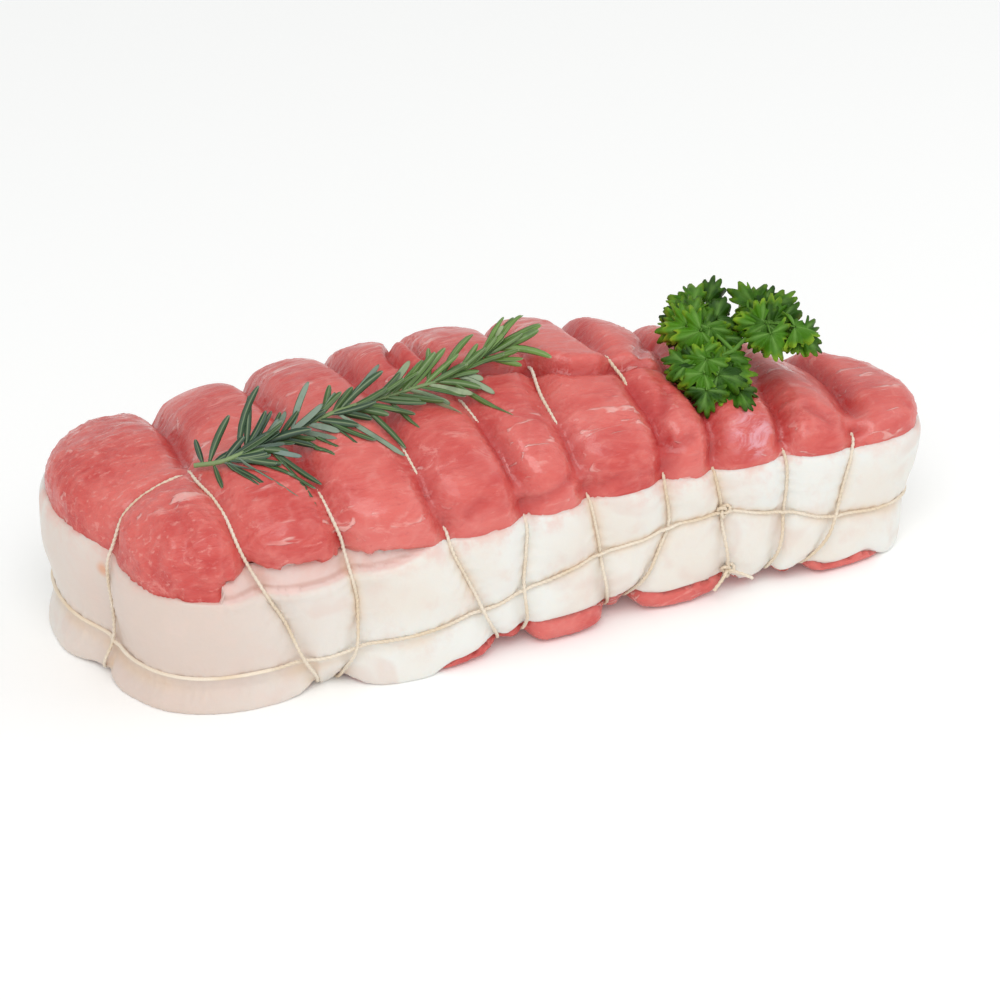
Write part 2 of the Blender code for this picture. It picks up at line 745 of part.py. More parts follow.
def leaflet(root, aim, lift, size, ground, scratch, rng):
    # A ruffled fan: thin, wavy, both faces split alike.
    side = aim.cross(lift).normalized()
    up = side.cross(aim).normalized()
    rows, fans = 2, 5
    thick = 0.35 * MM
    phase = rng.uniform(0, 6.3)
    faceUp = []
    for r in range(rows + 1):
        reach = size * (0.08 + 0.92 * r / rows)
        for f in range(fans + 1):
            turn = mix(-0.85, 0.85, f / fans)
            frill = 0.16 * size * (r / rows) ** 1.5 * math.sin(f * 2.4 + phase)
            edge = 1.0 - (0.16 if r == rows and f % 2 else 0.0)
            p = root + aim * reach * edge * math.cos(turn * 0.8) + side * reach * edge * math.sin(turn) * 0.72
            p += up * (frill - 0.10 * reach * turn * turn)
            p.z = max(p.z, ground.above(p.x, p.y, 0.8 * MM) + 1.1 * MM)
            faceUp.append(p)
    count = len(faceUp)
    verts = faceUp + [p - up * thick * 2 for p in faceUp]
    faces = []
    wide = fans + 1
    for r in range(rows):
        for f in range(fans):
            a, b, c, d = r * wide + f, r * wide + f + 1, (r + 1) * wide + f + 1, (r + 1) * wide + f
            faces += [(a, b, c), (a, c, d)]
            faces += [(a + count, c + count, b + count), (a + count, d + count, c + count)]
    rim = list(range(wide)) + [r * wide + fans for r in range(1, rows + 1)]
    rim += [rows * wide + f for f in range(fans - 1, -1, -1)] + [r * wide for r in range(rows - 1, 0, -1)]
    for i, a in enumerate(rim):
        b = rim[(i + 1) % len(rim)]
        faces.append((a, b, b + count, a + count))
    mesh = bpy.data.meshes.new("leaflet")
    mesh.from_pydata([tuple(v) for v in verts], [], faces)
    obj = bpy.data.objects.new("leaflet", mesh)
    scratch.objects.link(obj)
    bm = bmesh.new()
    bm.from_mesh(mesh)
    bmesh.ops.triangulate(bm, faces=[f for f in bm.faces if len(f.verts) > 3])
    bmesh.ops.recalc_face_normals(bm, faces=bm.faces)
    bm.to_mesh(mesh)
    bm.free()
    return obj


def makeParsley(ground, mat, collection, scratch):
    rng = random.Random(SEED + 5)
    rx, ry = PARSLEY_ROOT[0] * MM, PARSLEY_ROOT[1] * MM
    root = Vector((rx, ry, ground.above(rx, ry, 3 * MM) + 2.2 * MM))
    pieces = [knot("root", root, (1.5 * MM, 1.5 * MM, 1.4 * MM), scratch)]
    for x, y, rise in PARSLEY_CLUSTERS:
        head = Vector((x * MM, y * MM, 0.0))
        head.z = ground.above(head.x, head.y, 3 * MM) + rise * MM
        bend = root.lerp(head, 0.5)
        bend.z = max(bend.z, ground.above(bend.x, bend.y, 2 * MM) + 2.2 * MM) + 1.0 * MM
        pieces.append(tube("stalk", [root, bend, head], 0.8 * MM, False, scratch))
        flat = Vector((head.x - root.x, head.y - root.y, 0.0)).normalized()
        for i, swing in enumerate((-1.25, 0.0, 1.25)):
            c, s = math.cos(swing), math.sin(swing)
            aim = Vector((flat.x * c - flat.y * s, flat.x * s + flat.y * c, 0.0))
            aim.z = rise / 12.0 * (0.5 if i != 1 else 0.8)
            aim.normalize()
            lift = Vector((0, 0, 1))
            size = (15.5 if i == 1 else 13.5) * MM
            start = head - aim * 1.2 * MM
            pieces.append(leaflet(start, aim, lift, size, ground, scratch, rng))
    return fuse("parsley_sprig", pieces, mat, collection, scratch)


def build():
    clearScene()
    scene = bpy.context.scene
    collection = bpy.data.collections.new("veal_roast")
    scene.collection.children.link(collection)
    scratch = bpy.data.collections.new("building_pieces")
    scene.collection.children.link(scratch)
    meatMat = makeMaterial("veal", (0.60, 0.13, 0.12), 0.45)
    fatMat = makeMaterial("fat", (0.86, 0.80, 0.72), 0.5)
    stringMat = makeMaterial("cotton_string", (0.80, 0.70, 0.56), 0.9)
    rosemaryMat = makeMaterial("rosemary", (0.06, 0.14, 0.05), 0.55)
    parsleyMat = makeMaterial("parsley", (0.06, 0.20, 0.02), 0.5)

    roast = Roast()
    columns = roast.columns()
    meat = makeMeat(roast, columns, meatMat, collection)
    fat = makeFat(roast, columns, fatMat, collection)
    twine = makeTwine(roast, columns, stringMat, collection, scratch)
    ground = Ground([meat, fat, twine])
    rosemary = makeRosemary(ground, rosemaryMat, collection, scratch)
    parsley = makeParsley(ground, parsleyMat, collection, scratch)
    bpy.data.collections.remove(scratch)

    nodes = [meat, fat, twine, rosemary, parsley]
    low = [min(v.co[i] for obj in nodes for v in obj.data.vertices) for i in range(3)]
    high = [max(v.co[i] for obj in nodes for v in obj.data.vertices) for i in range(3)]
    shift = Vector((-(low[0] + high[0]) / 2, -(low[1] + high[1]) / 2, -low[2]))
    for obj in nodes:
        for vert in obj.data.vertices:
            vert.co += shift
        print(obj.name, len(obj.data.polygons), "faces")
    print("size", [round((b - a) * 1000, 1) for a, b in zip(low, high)],
          "shift", [round(s * 1000, 2) for s in shift])


build()
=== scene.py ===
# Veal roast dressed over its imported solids: meat, fat, string, rosemary and parsley.
# Metres in the frame's own axes; the dictionaries give millimetres where they say so.
import math
import random

import bpy
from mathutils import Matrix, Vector, kdtree, noise
from mathutils.bvhtree import BVHTree


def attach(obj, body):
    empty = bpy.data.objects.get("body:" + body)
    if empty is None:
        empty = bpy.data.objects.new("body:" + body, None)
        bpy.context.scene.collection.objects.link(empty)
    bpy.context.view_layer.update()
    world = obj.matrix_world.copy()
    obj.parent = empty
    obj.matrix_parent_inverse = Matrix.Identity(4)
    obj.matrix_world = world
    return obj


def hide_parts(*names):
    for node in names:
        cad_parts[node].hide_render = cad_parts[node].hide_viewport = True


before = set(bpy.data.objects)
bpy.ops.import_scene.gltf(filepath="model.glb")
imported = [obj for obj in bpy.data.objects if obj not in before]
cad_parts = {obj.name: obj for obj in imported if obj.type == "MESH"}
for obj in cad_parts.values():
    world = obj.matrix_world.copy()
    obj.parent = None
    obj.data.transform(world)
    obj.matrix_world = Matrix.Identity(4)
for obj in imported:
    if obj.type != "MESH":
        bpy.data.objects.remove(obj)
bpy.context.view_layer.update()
mm = 0.001
print("frame loaded")


def blendOf(a, b, w):
    return a + (b - a) * w


def clamp(value, low=0.0, high=1.0):
    return max(low, min(high, value))


def ease(value):
    value = clamp(value)
    return value * value * (3.0 - 2.0 * value)


def bell(distance, width):
    return math.exp(-(distance / width) ** 2)


def along(table, x):
    # Straight lines between the (x, value) pairs of a table.
    if x <= table[0][0]:
        return table[0][1]
    for (x0, v0), (x1, v1) in zip(table, table[1:]):
        if x <= x1:
            return blendOf(v0, v1, (x - x0) / (x1 - x0))
    return table[-1][1]


def smoothLine(points, closed, steps):
    # A curve through the points, as a list.
    count = len(points)
    result = []
    for i in range(count if closed else count - 1):
        if closed:
            p = [Vector(points[(i + k - 1) % count]) for k in range(4)]
        else:
            p = [Vector(points[int(clamp(i + k - 1, 0, count - 1))]) for k in range(4)]
        for s in range(steps):
            u = s / steps
            result.append(0.5 * (2 * p[1] + (p[2] - p[0]) * u
                                 + (2 * p[0] - 5 * p[1] + 4 * p[2] - p[3]) * u * u
                                 + (3 * p[1] - p[0] - 3 * p[2] + p[3]) * u ** 3))
    if not closed:
        result.append(Vector(points[-1]))
    return result


def evenLine(points, closed, gap):
    # The same line with points an even gap apart.
    line = list(points) + ([points[0]] if closed else [])
    at = [0.0]
    for a, b in zip(line, line[1:]):
        at.append(at[-1] + (b - a).length)
    count = max(2, round(at[-1] / gap))
    result = []
    k = 0
    for i in range(count if closed else count + 1):
        s = at[-1] * i / count
        while k < len(line) - 2 and at[k + 1] < s:
            k += 1
        result.append(line[k].lerp(line[k + 1], (s - at[k]) / max(at[k + 1] - at[k], 1e-9)))
    return result


def only(obj):
    # Selects one object alone and makes it the active one.
    if bpy.context.mode != "OBJECT":
        bpy.ops.object.mode_set(mode="OBJECT")
    bpy.ops.object.select_all(action="DESELECT")
    obj.select_set(True)
    bpy.context.view_layer.objects.active = obj


def applyModifier(obj, kind, settings):
    only(obj)
    mod = obj.modifiers.new(kind.lower(), kind)
    for key, value in settings.items():
        setattr(mod, key, value)
    bpy.ops.object.modifier_apply(modifier=mod.name)


def linked(name, data):
    # A new object in the scene.
    obj = bpy.data.objects.new(name, data)
    bpy.context.scene.collection.objects.link(obj)
    return obj


def discard(obj):
    only(obj)
    bpy.ops.object.delete()


def joined(pieces, name):
    # Many copies become one piece.
    only(pieces[0])
    for piece in pieces[1:]:
        piece.select_set(True)
    bpy.ops.object.join()
    obj = bpy.context.view_layer.objects.active
    obj.name = name
    obj.data.name = name
    return obj


def copyOfNode(node, name):
    # A node's mesh is loose triangles: its copy is merged and its pairs become quads.
    obj = linked(name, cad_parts[node].data.copy())
    only(obj)
    bpy.ops.object.mode_set(mode="EDIT")
    bpy.ops.mesh.select_all(action="SELECT")
    bpy.ops.mesh.remove_doubles(threshold=0.00001)
    bpy.ops.mesh.tris_convert_to_quads(face_threshold=math.radians(50),
                                       shape_threshold=math.radians(70))
    bpy.ops.mesh.select_all(action="DESELECT")
    bpy.ops.object.mode_set(mode="OBJECT")
    return obj


def treeOf(obj):
    mesh = obj.data
    return BVHTree.FromPolygons([v.co.copy() for v in mesh.vertices],
                                [tuple(p.vertices) for p in mesh.polygons])


def pointTree(points):
    # Finds the nearest of the points, by its number.
    tree = kdtree.KDTree(len(points))
    for i, p in enumerate(points):
        tree.insert(p, i)
    tree.balance()
    return tree


def curveMesh(name, line, settings, closed=False, turns=0, taper=1.0):
    # A tube along a line, as a mesh.
    curve = bpy.data.curves.new(name, "CURVE")
    curve.dimensions = "3D"
    curve.use_fill_caps = True
    for key, value in settings.items():
        setattr(curve, key, value)
    path = curve.splines.new("POLY")
    path.points.add(len(line) - 1)
    for i, (point, p) in enumerate(zip(path.points, line)):
        point.co = (*p, 1.0)
        point.tilt = 2 * math.pi * turns * i / len(line)
        point.radius = blendOf(1.0, taper, i / (len(line) - 1))
    path.use_cyclic_u = closed
    only(linked(name, curve))
    bpy.ops.object.convert(target="MESH")
    return bpy.context.view_layer.objects.active


def paint(obj, name, values):
    # One number a vertex, which the piece's material reads.
    layer = obj.data.attributes.new(name, "FLOAT", "POINT")
    layer.data.foreach_set("value", values)


def paintAll(obj, **values):
    # The same number on every vertex.
    for name, value in values.items():
        paint(obj, name, [value] * len(obj.data.vertices))


def dress(obj, look, node):
    obj.data.materials.clear()
    obj.data.materials.append(look.mat)
    for poly in obj.data.polygons:
        poly.use_smooth = True
    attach(obj, "root")
    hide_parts(node)


class Wire:
    # A socket: arithmetic with it adds Math nodes.
    def __init__(self, look, socket):
        self.look = look
        self.socket = socket

    def __add__(self, other):
        return self.look.math("ADD", self, other)

    def __sub__(self, other):
        return self.look.math("SUBTRACT", self, other)

    def __mul__(self, other):
        return self.look.math("MULTIPLY", self, other)

    def __rsub__(self, other):
        return self.look.math("SUBTRACT", other, self)

    __radd__ = __add__
    __rmul__ = __mul__


class Look:
    # A material: fixed values go straight onto its shader, the rest through nodes.
    def __init__(self, name, fixed):
        self.mat = bpy.data.materials.new(name)
        self.mat.use_nodes = True
        self.tree = self.mat.node_tree
        self.shader = self.tree.nodes["Principled BSDF"]
        for key, value in fixed.items():
            self.shader.inputs[key].default_value = value
        self.place = self.node("ShaderNodeTexCoord", {}, {}, "Object")

    def node(self, kind, settings, sockets, output=0):
        node = self.tree.nodes.new(kind)
        for key, value in settings.items():
            setattr(node, key, value)
        for key, value in sockets.items():
            if isinstance(value, Wire):
                self.tree.links.new(value.socket, node.inputs[key])
            else:
                node.inputs[key].default_value = value
        return Wire(self, node.outputs[output])

    def math(self, operation, a, b):
        return self.node("ShaderNodeMath", {"operation": operation}, {0: a, 1: b})

    def step(self, value, low, high):
        # 0 below low, 1 above high and an eased ramp between.
        return self.node("ShaderNodeMapRange", {"interpolation_type": "SMOOTHSTEP"},
                         {"Value": value, "From Min": low, "From Max": high})

    def grain(self, scale, detail=3.0, rough=0.5, stretch=None, warp=0.0):
        place = self.place
        if stretch:
            place = self.node("ShaderNodeMapping", {}, {"Vector": place, "Scale": stretch})
        return self.node("ShaderNodeTexNoise", {"noise_dimensions": "3D"},
                         {"Vector": place, "Scale": scale, "Detail": detail,
                          "Roughness": rough, "Distortion": warp})

    def painted(self, name):
        return self.node("ShaderNodeAttribute", {"attribute_name": name}, {}, "Fac")

    def mixed(self, mask, a, b):
        return self.node("ShaderNodeMix", {"data_type": "RGBA"}, {0: mask, 6: a, 7: b}, 2)

    def layered(self, colour, layers):
        # Colours over one another, each through its mask.
        for mask, over in layers:
            colour = self.mixed(mask, colour, rgb(*over))
        return colour

    def spot(self, centre, near, far):
        # 1 within near of a place, 0 beyond far.
        gap = self.node("ShaderNodeVectorMath", {"operation": "DISTANCE"},
                        {0: self.place, 1: tuple(c * mm for c in centre)}, "Value")
        return 1.0 - self.step(gap, near * mm, far * mm)

    def put(self, socket, value):
        self.tree.links.new(value.socket, self.shader.inputs[socket])

    def relief(self, height, depth, strength=1.0):
        bump = self.node("ShaderNodeBump", {}, {"Height": height, "Distance": depth,
                                                "Strength": strength})
        self.put("Normal", bump)


def rgb(red, green, blue):
    # An sRGB colour in 0 to 255 as the linear one a shader takes.
    values = []
    for part in (red, green, blue):
        part /= 255.0
        values.append(part / 12.92 if part <= 0.04045 else ((part + 0.055) / 1.055) ** 2.4)
    return (*values, 1.0)


# The fine surfaces of meat and fat, from which string and herbs take their places.

bodySizes = {
    "meatGrain": 1.2 * mm,       # voxel of the meat's fine mesh
    "fatGrain": 1.05 * mm,
    "underFat": 2.7 * mm,        # how far the meat comes out behind the fat
    "touching": 0.8 * mm,
    "fatIntoMeat": 0.9 * mm,
    "meatPasses": 14,
    "crownPasses": 84,
    "crownFoot": (43.0, 39.0),   # where the crown's smoothing begins, at the left and right
}


def makeMeatBase():
    meat = copyOfNode("meat", "rolled_meat")
    fatTree = treeOf(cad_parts["fat_band"])
    for vert in meat.data.vertices:
        near, normal, index, gap = fatTree.find_nearest(vert.co)
        out = Vector((near.x - vert.co.x, near.y - vert.co.y, 0.0))
        if gap < bodySizes["touching"] and out.length > 0.18 * mm:
            vert.co += out.normalized() * bodySizes["underFat"]
    applyModifier(meat, "SUBSURF", {"levels": 2, "render_levels": 2})
    applyModifier(meat, "REMESH", {"mode": "VOXEL", "voxel_size": bodySizes["meatGrain"]})
    applyModifier(meat, "SMOOTH", {"factor": 0.5, "iterations": bodySizes["meatPasses"]})
    # The crown's wide grooves are smoothed out; narrow ones follow along the string.
    crown = meat.vertex_groups.new(name="crown")
    for vert in meat.data.vertices:
        x, y, z = vert.co / mm
        foot = blendOf(*bodySizes["crownFoot"], ease((x - 82.0) / 20.0))
        crown.add([vert.index], ease((z - foot) / 9.0), "REPLACE")
    applyModifier(meat, "SMOOTH", {"factor": 0.6, "iterations": bodySizes["crownPasses"],
                                   "vertex_group": "crown"})
    meat.vertex_groups.clear()
    return meat


def makeFatBase():
    fat = copyOfNode("fat_band", "fat_sheet")
    applyModifier(fat, "SUBSURF", {"levels": 2, "render_levels": 2})
    applyModifier(fat, "REMESH", {"mode": "VOXEL", "voxel_size": bodySizes["fatGrain"]})
    applyModifier(fat, "SMOOTH", {"factor": 0.5, "iterations": 2})
    return fat


class Surface:
    # Where rays from outside first meet the given pieces.
    def __init__(self, *pieces):
        self.trees = [treeOf(piece) for piece in pieces]

    def reach(self, start, toward):
        best = None
        for tree in self.trees:
            hit = tree.ray_cast(start, toward)
            if hit[0] is not None and (best is None or hit[3] < best):
                best = hit[3]
        return best

    def height(self, x, y):
        above = 0.2
        gap = self.reach(Vector((x, y, above)), Vector((0.0, 0.0, -1.0)))
        return above - gap if gap is not None else 0.0


meat = makeMeatBase()
fat = makeFatBase()
print("meat and fat:", len(meat.data.polygons), len(fat.data.polygons), "faces")


# String: millimetres, then moved by "offset" into the frame. Each loop has its places
# at crown and underside, then at fat edge, lengthwise string and bottom edge of the
# front and of the back. "groove" is the solid's own place at the crown, where the loop
# has left it. "drift" is how far it strays along the front at "driftHeights". "shown" is
# where it lies on the crown unburied, and "emerges" the height below which it comes out
# of the meat in front.

stringPlan = {
    "offset": (-1.5, 1.9),
    "loops": [
        {"crown": -97, "under": -82, "front": (-91, -85, -80), "back": (-92, -89, -86),
         "drift": (-2.5, -3.5, 3.0, 8.0), "shown": (-60, 0), "emerges": 62},
        {"crown": -65, "under": -60, "front": (-61, -58, -61), "back": (-62, -64, -60),
         "drift": (-5.5, -3.0, -1.7, -5.0), "shown": None, "emerges": 62},
        {"crown": -35, "under": -20, "front": (-29, -21, -14), "back": (-36, -32, -30),
         "drift": (-7.0, -3.5, -1.5, 0.0), "shown": (-41, -22), "emerges": 47},
        {"crown": -14, "under": -8, "front": (-6, -9, -6), "back": (-14, -11, -8),
         "drift": (0.0, 0.5, 1.3, 1.4), "shown": (-27, -12), "emerges": 44.5},
        {"crown": 13, "under": 23, "front": (18, 22, 28), "back": (17, 15, 19),
         "drift": (-5.4, -2.0, -2.5, -4.0), "shown": (-34, -5), "emerges": 46},
        {"crown": 38, "under": 43, "front": (44, 49, 43), "back": (41, 45, 44),
         "drift": (1.0, -0.8, -4.0, -11.0), "shown": (-21, -5), "emerges": 47},
        {"crown": 60, "under": 67, "front": (61, 67, 71), "back": (62, 60, 64),
         "drift": (0.0, 0.0, -4.0, -5.0), "shown": None, "emerges": 44.5},
        {"crown": 87, "under": 84, "front": (85, 85, 84), "back": (85, 87, 84),
         "groove": 84, "drift": (4.0, -0.6, -0.3, -3.0), "shown": None, "emerges": 46.5},
        {"crown": 115, "under": 99, "front": (108, 108, 98), "back": (106, 102, 100),
         "groove": 106, "drift": (10.0, 1.5, -3.8, -8.0), "shown": None, "emerges": 45}],
    "driftHeights": (66, 50, 30, 10),
    "frontHeights": [(-85, 12), (-58, 15), (-21, 18), (-9, 21), (22, 27), (49, 30), (67, 30),
                     (85, 25), (108, 20), (138, 19)],
    "backHeights": [(-137, 15), (-89, 16), (-64, 18), (-32, 20), (-11, 22), (15, 24), (45, 25),
                    (60, 24), (87, 22), (102, 20), (138, 19)],
    "endCrown": (-97, -13),
    "endSide": (-19, -15, -12),
    "endUnder": (-82, 0),
    "endShown": -104,
    "edgeHeight": 45.0,
    "middleHeight": 34.0,
    "radius": 0.62 * mm,
    "gap": 0.75 * mm,
    "search": 2.4 * mm,          # how far a string may move aside to lie deeper
    "beltSearch": 0.4 * mm,
    "fineSearch": 0.3 * mm,
    "aside": 22.0,               # what a move aside counts against the depth it gains
    "evenPasses": 30,
    "tightPasses": 120,
    "roundPasses": 4,
    "buriedPasses": 60,
    "overCrossing": 1.15 * mm,
    "crossingWidth": 2.4 * mm,
    "buried": 2.0 * mm,
    "twist": 5.0 * mm,
    "lobes": 3,
}

endStretch = {"left": 1.6, "right": 4.2, "lower": 4.0}      # millimetres
# where the front is drawn in at the floor: x, width and depth in millimetres
pinches = [(-70.0, 5.0, 7.5), (27.0, 5.0, 5.5), (76.0, 4.0, 3.0)]


def spineY(x):
    # Middle line of the crown in plan, in millimetres.
    y = blendOf(0.0, -14.0, ease((x - 30.0) / 80.0))
    return y + blendOf(-13.0, 0.0, ease((x + 97.0) / 60.0))


def driftOf(loop, z):
    return along(sorted(zip(stringPlan["driftHeights"], loop["drift"])), z)


def grooveX(loop, z):
    # Where the solid has the loop's groove along the front, at a height in millimetres.
    edge, belt, low = loop["front"]
    beltZ = along(stringPlan["frontHeights"], belt)
    crown = loop.get("groove", loop["crown"])
    course = [(2.0, low), (beltZ, belt), (45.0, edge), (68.0, crown)]
    return along(course, z) + stringPlan["offset"][0]


def warpFront(piece):
    # Moves the grooves of the front to where the real string runs, and rounds out the ends.
    for vert in piece.data.vertices:
        x, y, z = vert.co / mm
        table = [(-130.0, 0.0)]
        for loop in stringPlan["loops"]:
            table.append((grooveX(loop, z), driftOf(loop, z)))
        table.append((130.0, 0.0))
        facing = ease((-6.0 - y) / 20.0)
        move = along(table, x) * facing
        rounding = blendOf(-0.8, 1.0, ease(z / 48.0))
        move += endStretch["right"] * ease((x - 92.0) / 42.0) ** 2 * rounding
        move -= endStretch["left"] * ease((-100.0 - x) / 30.0)
        vert.co.x += move * mm
        vert.co.z -= endStretch["lower"] * ease((x - 92.0) / 18.0) * ease((z - 46.0) / 18.0) * mm
        for place, width, depth in pinches:
            draw = depth * bell(x + move - place, width) * ease((16.0 - z) / 14.0)
            vert.co.y += draw * facing * mm


def sidePoint(x, z, front):
    # Where the front or back side stands at a length x and a height z, in metres.
    toward = 1.0 if front else -1.0
    start = Vector((x, -0.12 * toward, z))
    gap = surface.reach(start, Vector((0.0, toward, 0.0)))
    return start + Vector((0.0, toward * (gap if gap else 0.07), 0.0))


class StringRun:
    # A string's guide with the ways in and sideways at each point.
    def __init__(self, guide, closed, inward, sideways):
        self.guide = guide
        self.closed = closed
        self.inward = inward
        self.sideways = sideways

    def averaged(self, values, i):
        count = len(values)
        if not self.closed and i in (0, count - 1):
            return values[i]
        return (values[i - 1] + 2 * values[i] + values[(i + 1) % count]) / 4

    def laid(self, surface, search, buriedAt):
        # Draws the string tight over the surface, along the deepest line near its guide.
        count = len(self.guide)
        lead = 0.02
        shifts = []
        for p, n, s in zip(self.guide, self.inward, self.sideways):
            best = (None, 0.0)
            for k in range(-6, 7):
                move = search * k / 6
                reach = surface.reach(p + s * move - n * lead, n)
                if reach is None:
                    continue
                score = reach - stringPlan["aside"] * move * move
                if best[0] is None or score > best[0]:
                    best = (score, move)
            shifts.append(best[1])
        for _ in range(stringPlan["evenPasses"]):
            shifts = [self.averaged(shifts, i) for i in range(count)]
        depth = []
        for p, n, s, move in zip(self.guide, self.inward, self.sideways, shifts):
            reach = surface.reach(p + s * move - n * lead, n)
            depth.append(reach if reach is not None else lead)
        tight = list(depth)
        for _ in range(stringPlan["tightPasses"]):
            for i in range(count):
                if self.closed or 0 < i < count - 1:
                    middle = (tight[i - 1] + tight[(i + 1) % count]) / 2
                    tight[i] = min(depth[i], middle)
        line = []
        for i in range(count):
            p = self.guide[i] + self.sideways[i] * shifts[i]
            share = buriedAt(p)
            rest = blendOf(tight[i], depth[i], share) - lead - 0.5 * stringPlan["radius"]
            line.append(p + self.inward[i] * (rest + sunk(share, p)))
        for _ in range(stringPlan["roundPasses"]):
            xs, ys, zs = ([p[k] for p in line] for k in range(3))
            line = [Vector([self.averaged(v, i) for v in (xs, ys, zs)]) for i in range(count)]
        self.guide = line       # a second laying starts from here
        return line


def loopRun(loop):
    dx, dy = stringPlan["offset"]
    topX, topY = (loop["crown"] + dx) * mm, (spineY(loop["crown"]) + dy) * mm
    points = [Vector((topX, topY, surface.height(topX, topY)))]
    for z in (58.0, 45.0, 28.0, 12.0, 3.0):
        points.append(sidePoint((grooveX(loop, z) + driftOf(loop, z)) * mm, z * mm, True))
    points.append(Vector(((loop["under"] + dx) * mm, dy * mm, 0.003)))
    beltZ = along(stringPlan["backHeights"], loop["back"][1])
    for x, z in zip(reversed(loop["back"]), (3.0, beltZ, stringPlan["edgeHeight"])):
        points.append(sidePoint((x + dx) * mm, z * mm, False))
    guide = evenLine(smoothLine(points, True, 16), True, stringPlan["gap"])
    middleY = (spineY(loop["crown"]) * 0.5 + dy) * mm
    centre = Vector((0.0, middleY, stringPlan["middleHeight"] * mm))
    inward = [Vector((0.0, centre.y - p.y, centre.z - p.z)).normalized() for p in guide]
    return StringRun(guide, True, inward, [Vector((1.0, 0.0, 0.0))] * len(guide))


def beltHeight(p):
    # Height of the lengthwise string at a place round the roast, in metres.
    x = p.x / mm - stringPlan["offset"][0]
    front = along(stringPlan["frontHeights"], x)
    back = along(stringPlan["backHeights"], x)
    return blendOf(front, back, ease((p.y / mm + 35.0) / 60.0)) * mm


def beltRun():
    # Rays run in from a long round-ended outline to the middle line.
    left, right, away = Vector((-0.088, 0.0, 0.0)), Vector((0.090, -0.010, 0.0)), 0.09
    axis = (right - left).normalized()
    across = Vector((-axis.y, axis.x, 0.0))
    sideSteps, endSteps = 160, 120
    starts = []
    for near, far, facing in ((left, right, -1.0), (right, left, 1.0)):
        for i in range(sideSteps):
            starts.append((near.lerp(far, i / sideSteps), across * facing))
        for i in range(endSteps):
            turn = math.pi / 2 * facing + math.pi * i / endSteps
            starts.append((far, axis * math.cos(turn) + across * math.sin(turn)))
    points = []
    for core, out in starts:
        z = beltHeight(core + out * 0.05)
        start = core + out * away + Vector((0.0, 0.0, z))
        gap = surface.reach(start, -out) or 0.04
        points.append(start - out * gap)
    guide = evenLine(points, True, stringPlan["gap"])
    inward = []
    for p in guide:
        flat = Vector((p.x, p.y, 0.0))
        core = left + axis * clamp((flat - left).dot(axis), 0.0, (right - left).length)
        inward.append((core - flat).normalized())
    return StringRun(guide, True, inward, [Vector((0.0, 0.0, 1.0))] * len(guide))


def endRun():
    dx, dy = stringPlan["offset"]
    x, y = stringPlan["endCrown"]
    top = Vector(((x + dx) * mm, (y + dy) * mm, 0.0))
    top.z = surface.height(top.x, top.y)
    points = [top]
    for y, z in zip(stringPlan["endSide"], (stringPlan["edgeHeight"], 15.0, 3.0)):
        start = Vector((-0.2, (y + dy) * mm, z * mm))
        gap = surface.reach(start, Vector((1.0, 0.0, 0.0))) or 0.07
        points.append(start + Vector((gap, 0.0, 0.0)))
    x, y = stringPlan["endUnder"]
    points.append(Vector(((x + dx) * mm, (y + dy) * mm, 0.003)))
    guide = evenLine(smoothLine(points, False, 16), False, stringPlan["gap"])
    middle = stringPlan["middleHeight"] * mm
    inward = [Vector((-0.085 - p.x, 0.0, middle - p.z)).normalized() for p in guide]
    return StringRun(guide, False, inward, [Vector((0.0, 1.0, 0.0))] * len(guide))


def buriedShare(loop, p):
    # 1 where the meat has closed over a loop, 0 where the string shows.
    x, y, z = p / mm
    if z < 34.0:
        return 0.0
    if y > spineY(x - stringPlan["offset"][0]) + 4.0:
        return ease((z - 45.0) / 2.0)
    hidden = ease((z - loop["emerges"]) / 2.0)
    if loop["shown"] and z > 46.0:
        low, high = loop["shown"]
        hidden = min(hidden, 1.0 - ease((y - low) / 2.0) * ease((high - y) / 2.0))
    return hidden


def sunk(share, p):
    # How much deeper than on the fat a string lies: a little on bare meat, all under it.
    return blendOf(0.5 * mm * ease((p.z / mm - 42.0) / 6.0), stringPlan["buried"], share)


def buriedFor(loop):
    return lambda p: buriedShare(loop, p)


def endBuried(p):
    return ease((p.x / mm - stringPlan["endShown"]) / 2.5) if p.z > 34.0 * mm else 0.0


def unburied(p):
    return 0.0


def overLoops(line, inward, loops):
    # The lengthwise string passes over the loops.
    crossings = pointTree([p for loop in loops for p in loop])
    width = stringPlan["crossingWidth"]
    lifts = [stringPlan["overCrossing"] * bell(crossings.find(p)[2], width) for p in line]
    return [p - n * lift for p, n, lift in zip(line, inward, lifts)]


warpFront(meat)
warpFront(fat)
surface = Surface(meat, fat)
loopRuns = [loopRun(loop) for loop in stringPlan["loops"]]
endStringRun = endRun()
loops = [run.laid(surface, stringPlan["search"], unburied) for run in loopRuns]
endString = endStringRun.laid(surface, stringPlan["search"], unburied)
lengthRun = beltRun()
belt = lengthRun.laid(surface, stringPlan["beltSearch"], unburied)
print("string laid:", len(loops), "loops")


# What the strings press into: the nearest place on a string, and how deep it bites there.

class Pressed:
    def __init__(self, lines, buried):
        self.tree = pointTree([p for line in lines for p in line])
        self.run = []
        self.buried = []
        for line, share in zip(lines, buried):
            shares = [share(p) for p in line]
            for _ in range(stringPlan["buriedPasses"]):
                ahead, behind = shares[1:] + shares[:1], shares[-1:] + shares[:-1]
                shares = [(a + 2 * b + c) / 4 for a, b, c in zip(ahead, shares, behind)]
            self.run += [i * stringPlan["gap"] for i in range(len(line))]
            self.buried += shares

    def find(self, p):
        near, index, gap = self.tree.find(p)
        return gap, self.run[index], self.buried[index]


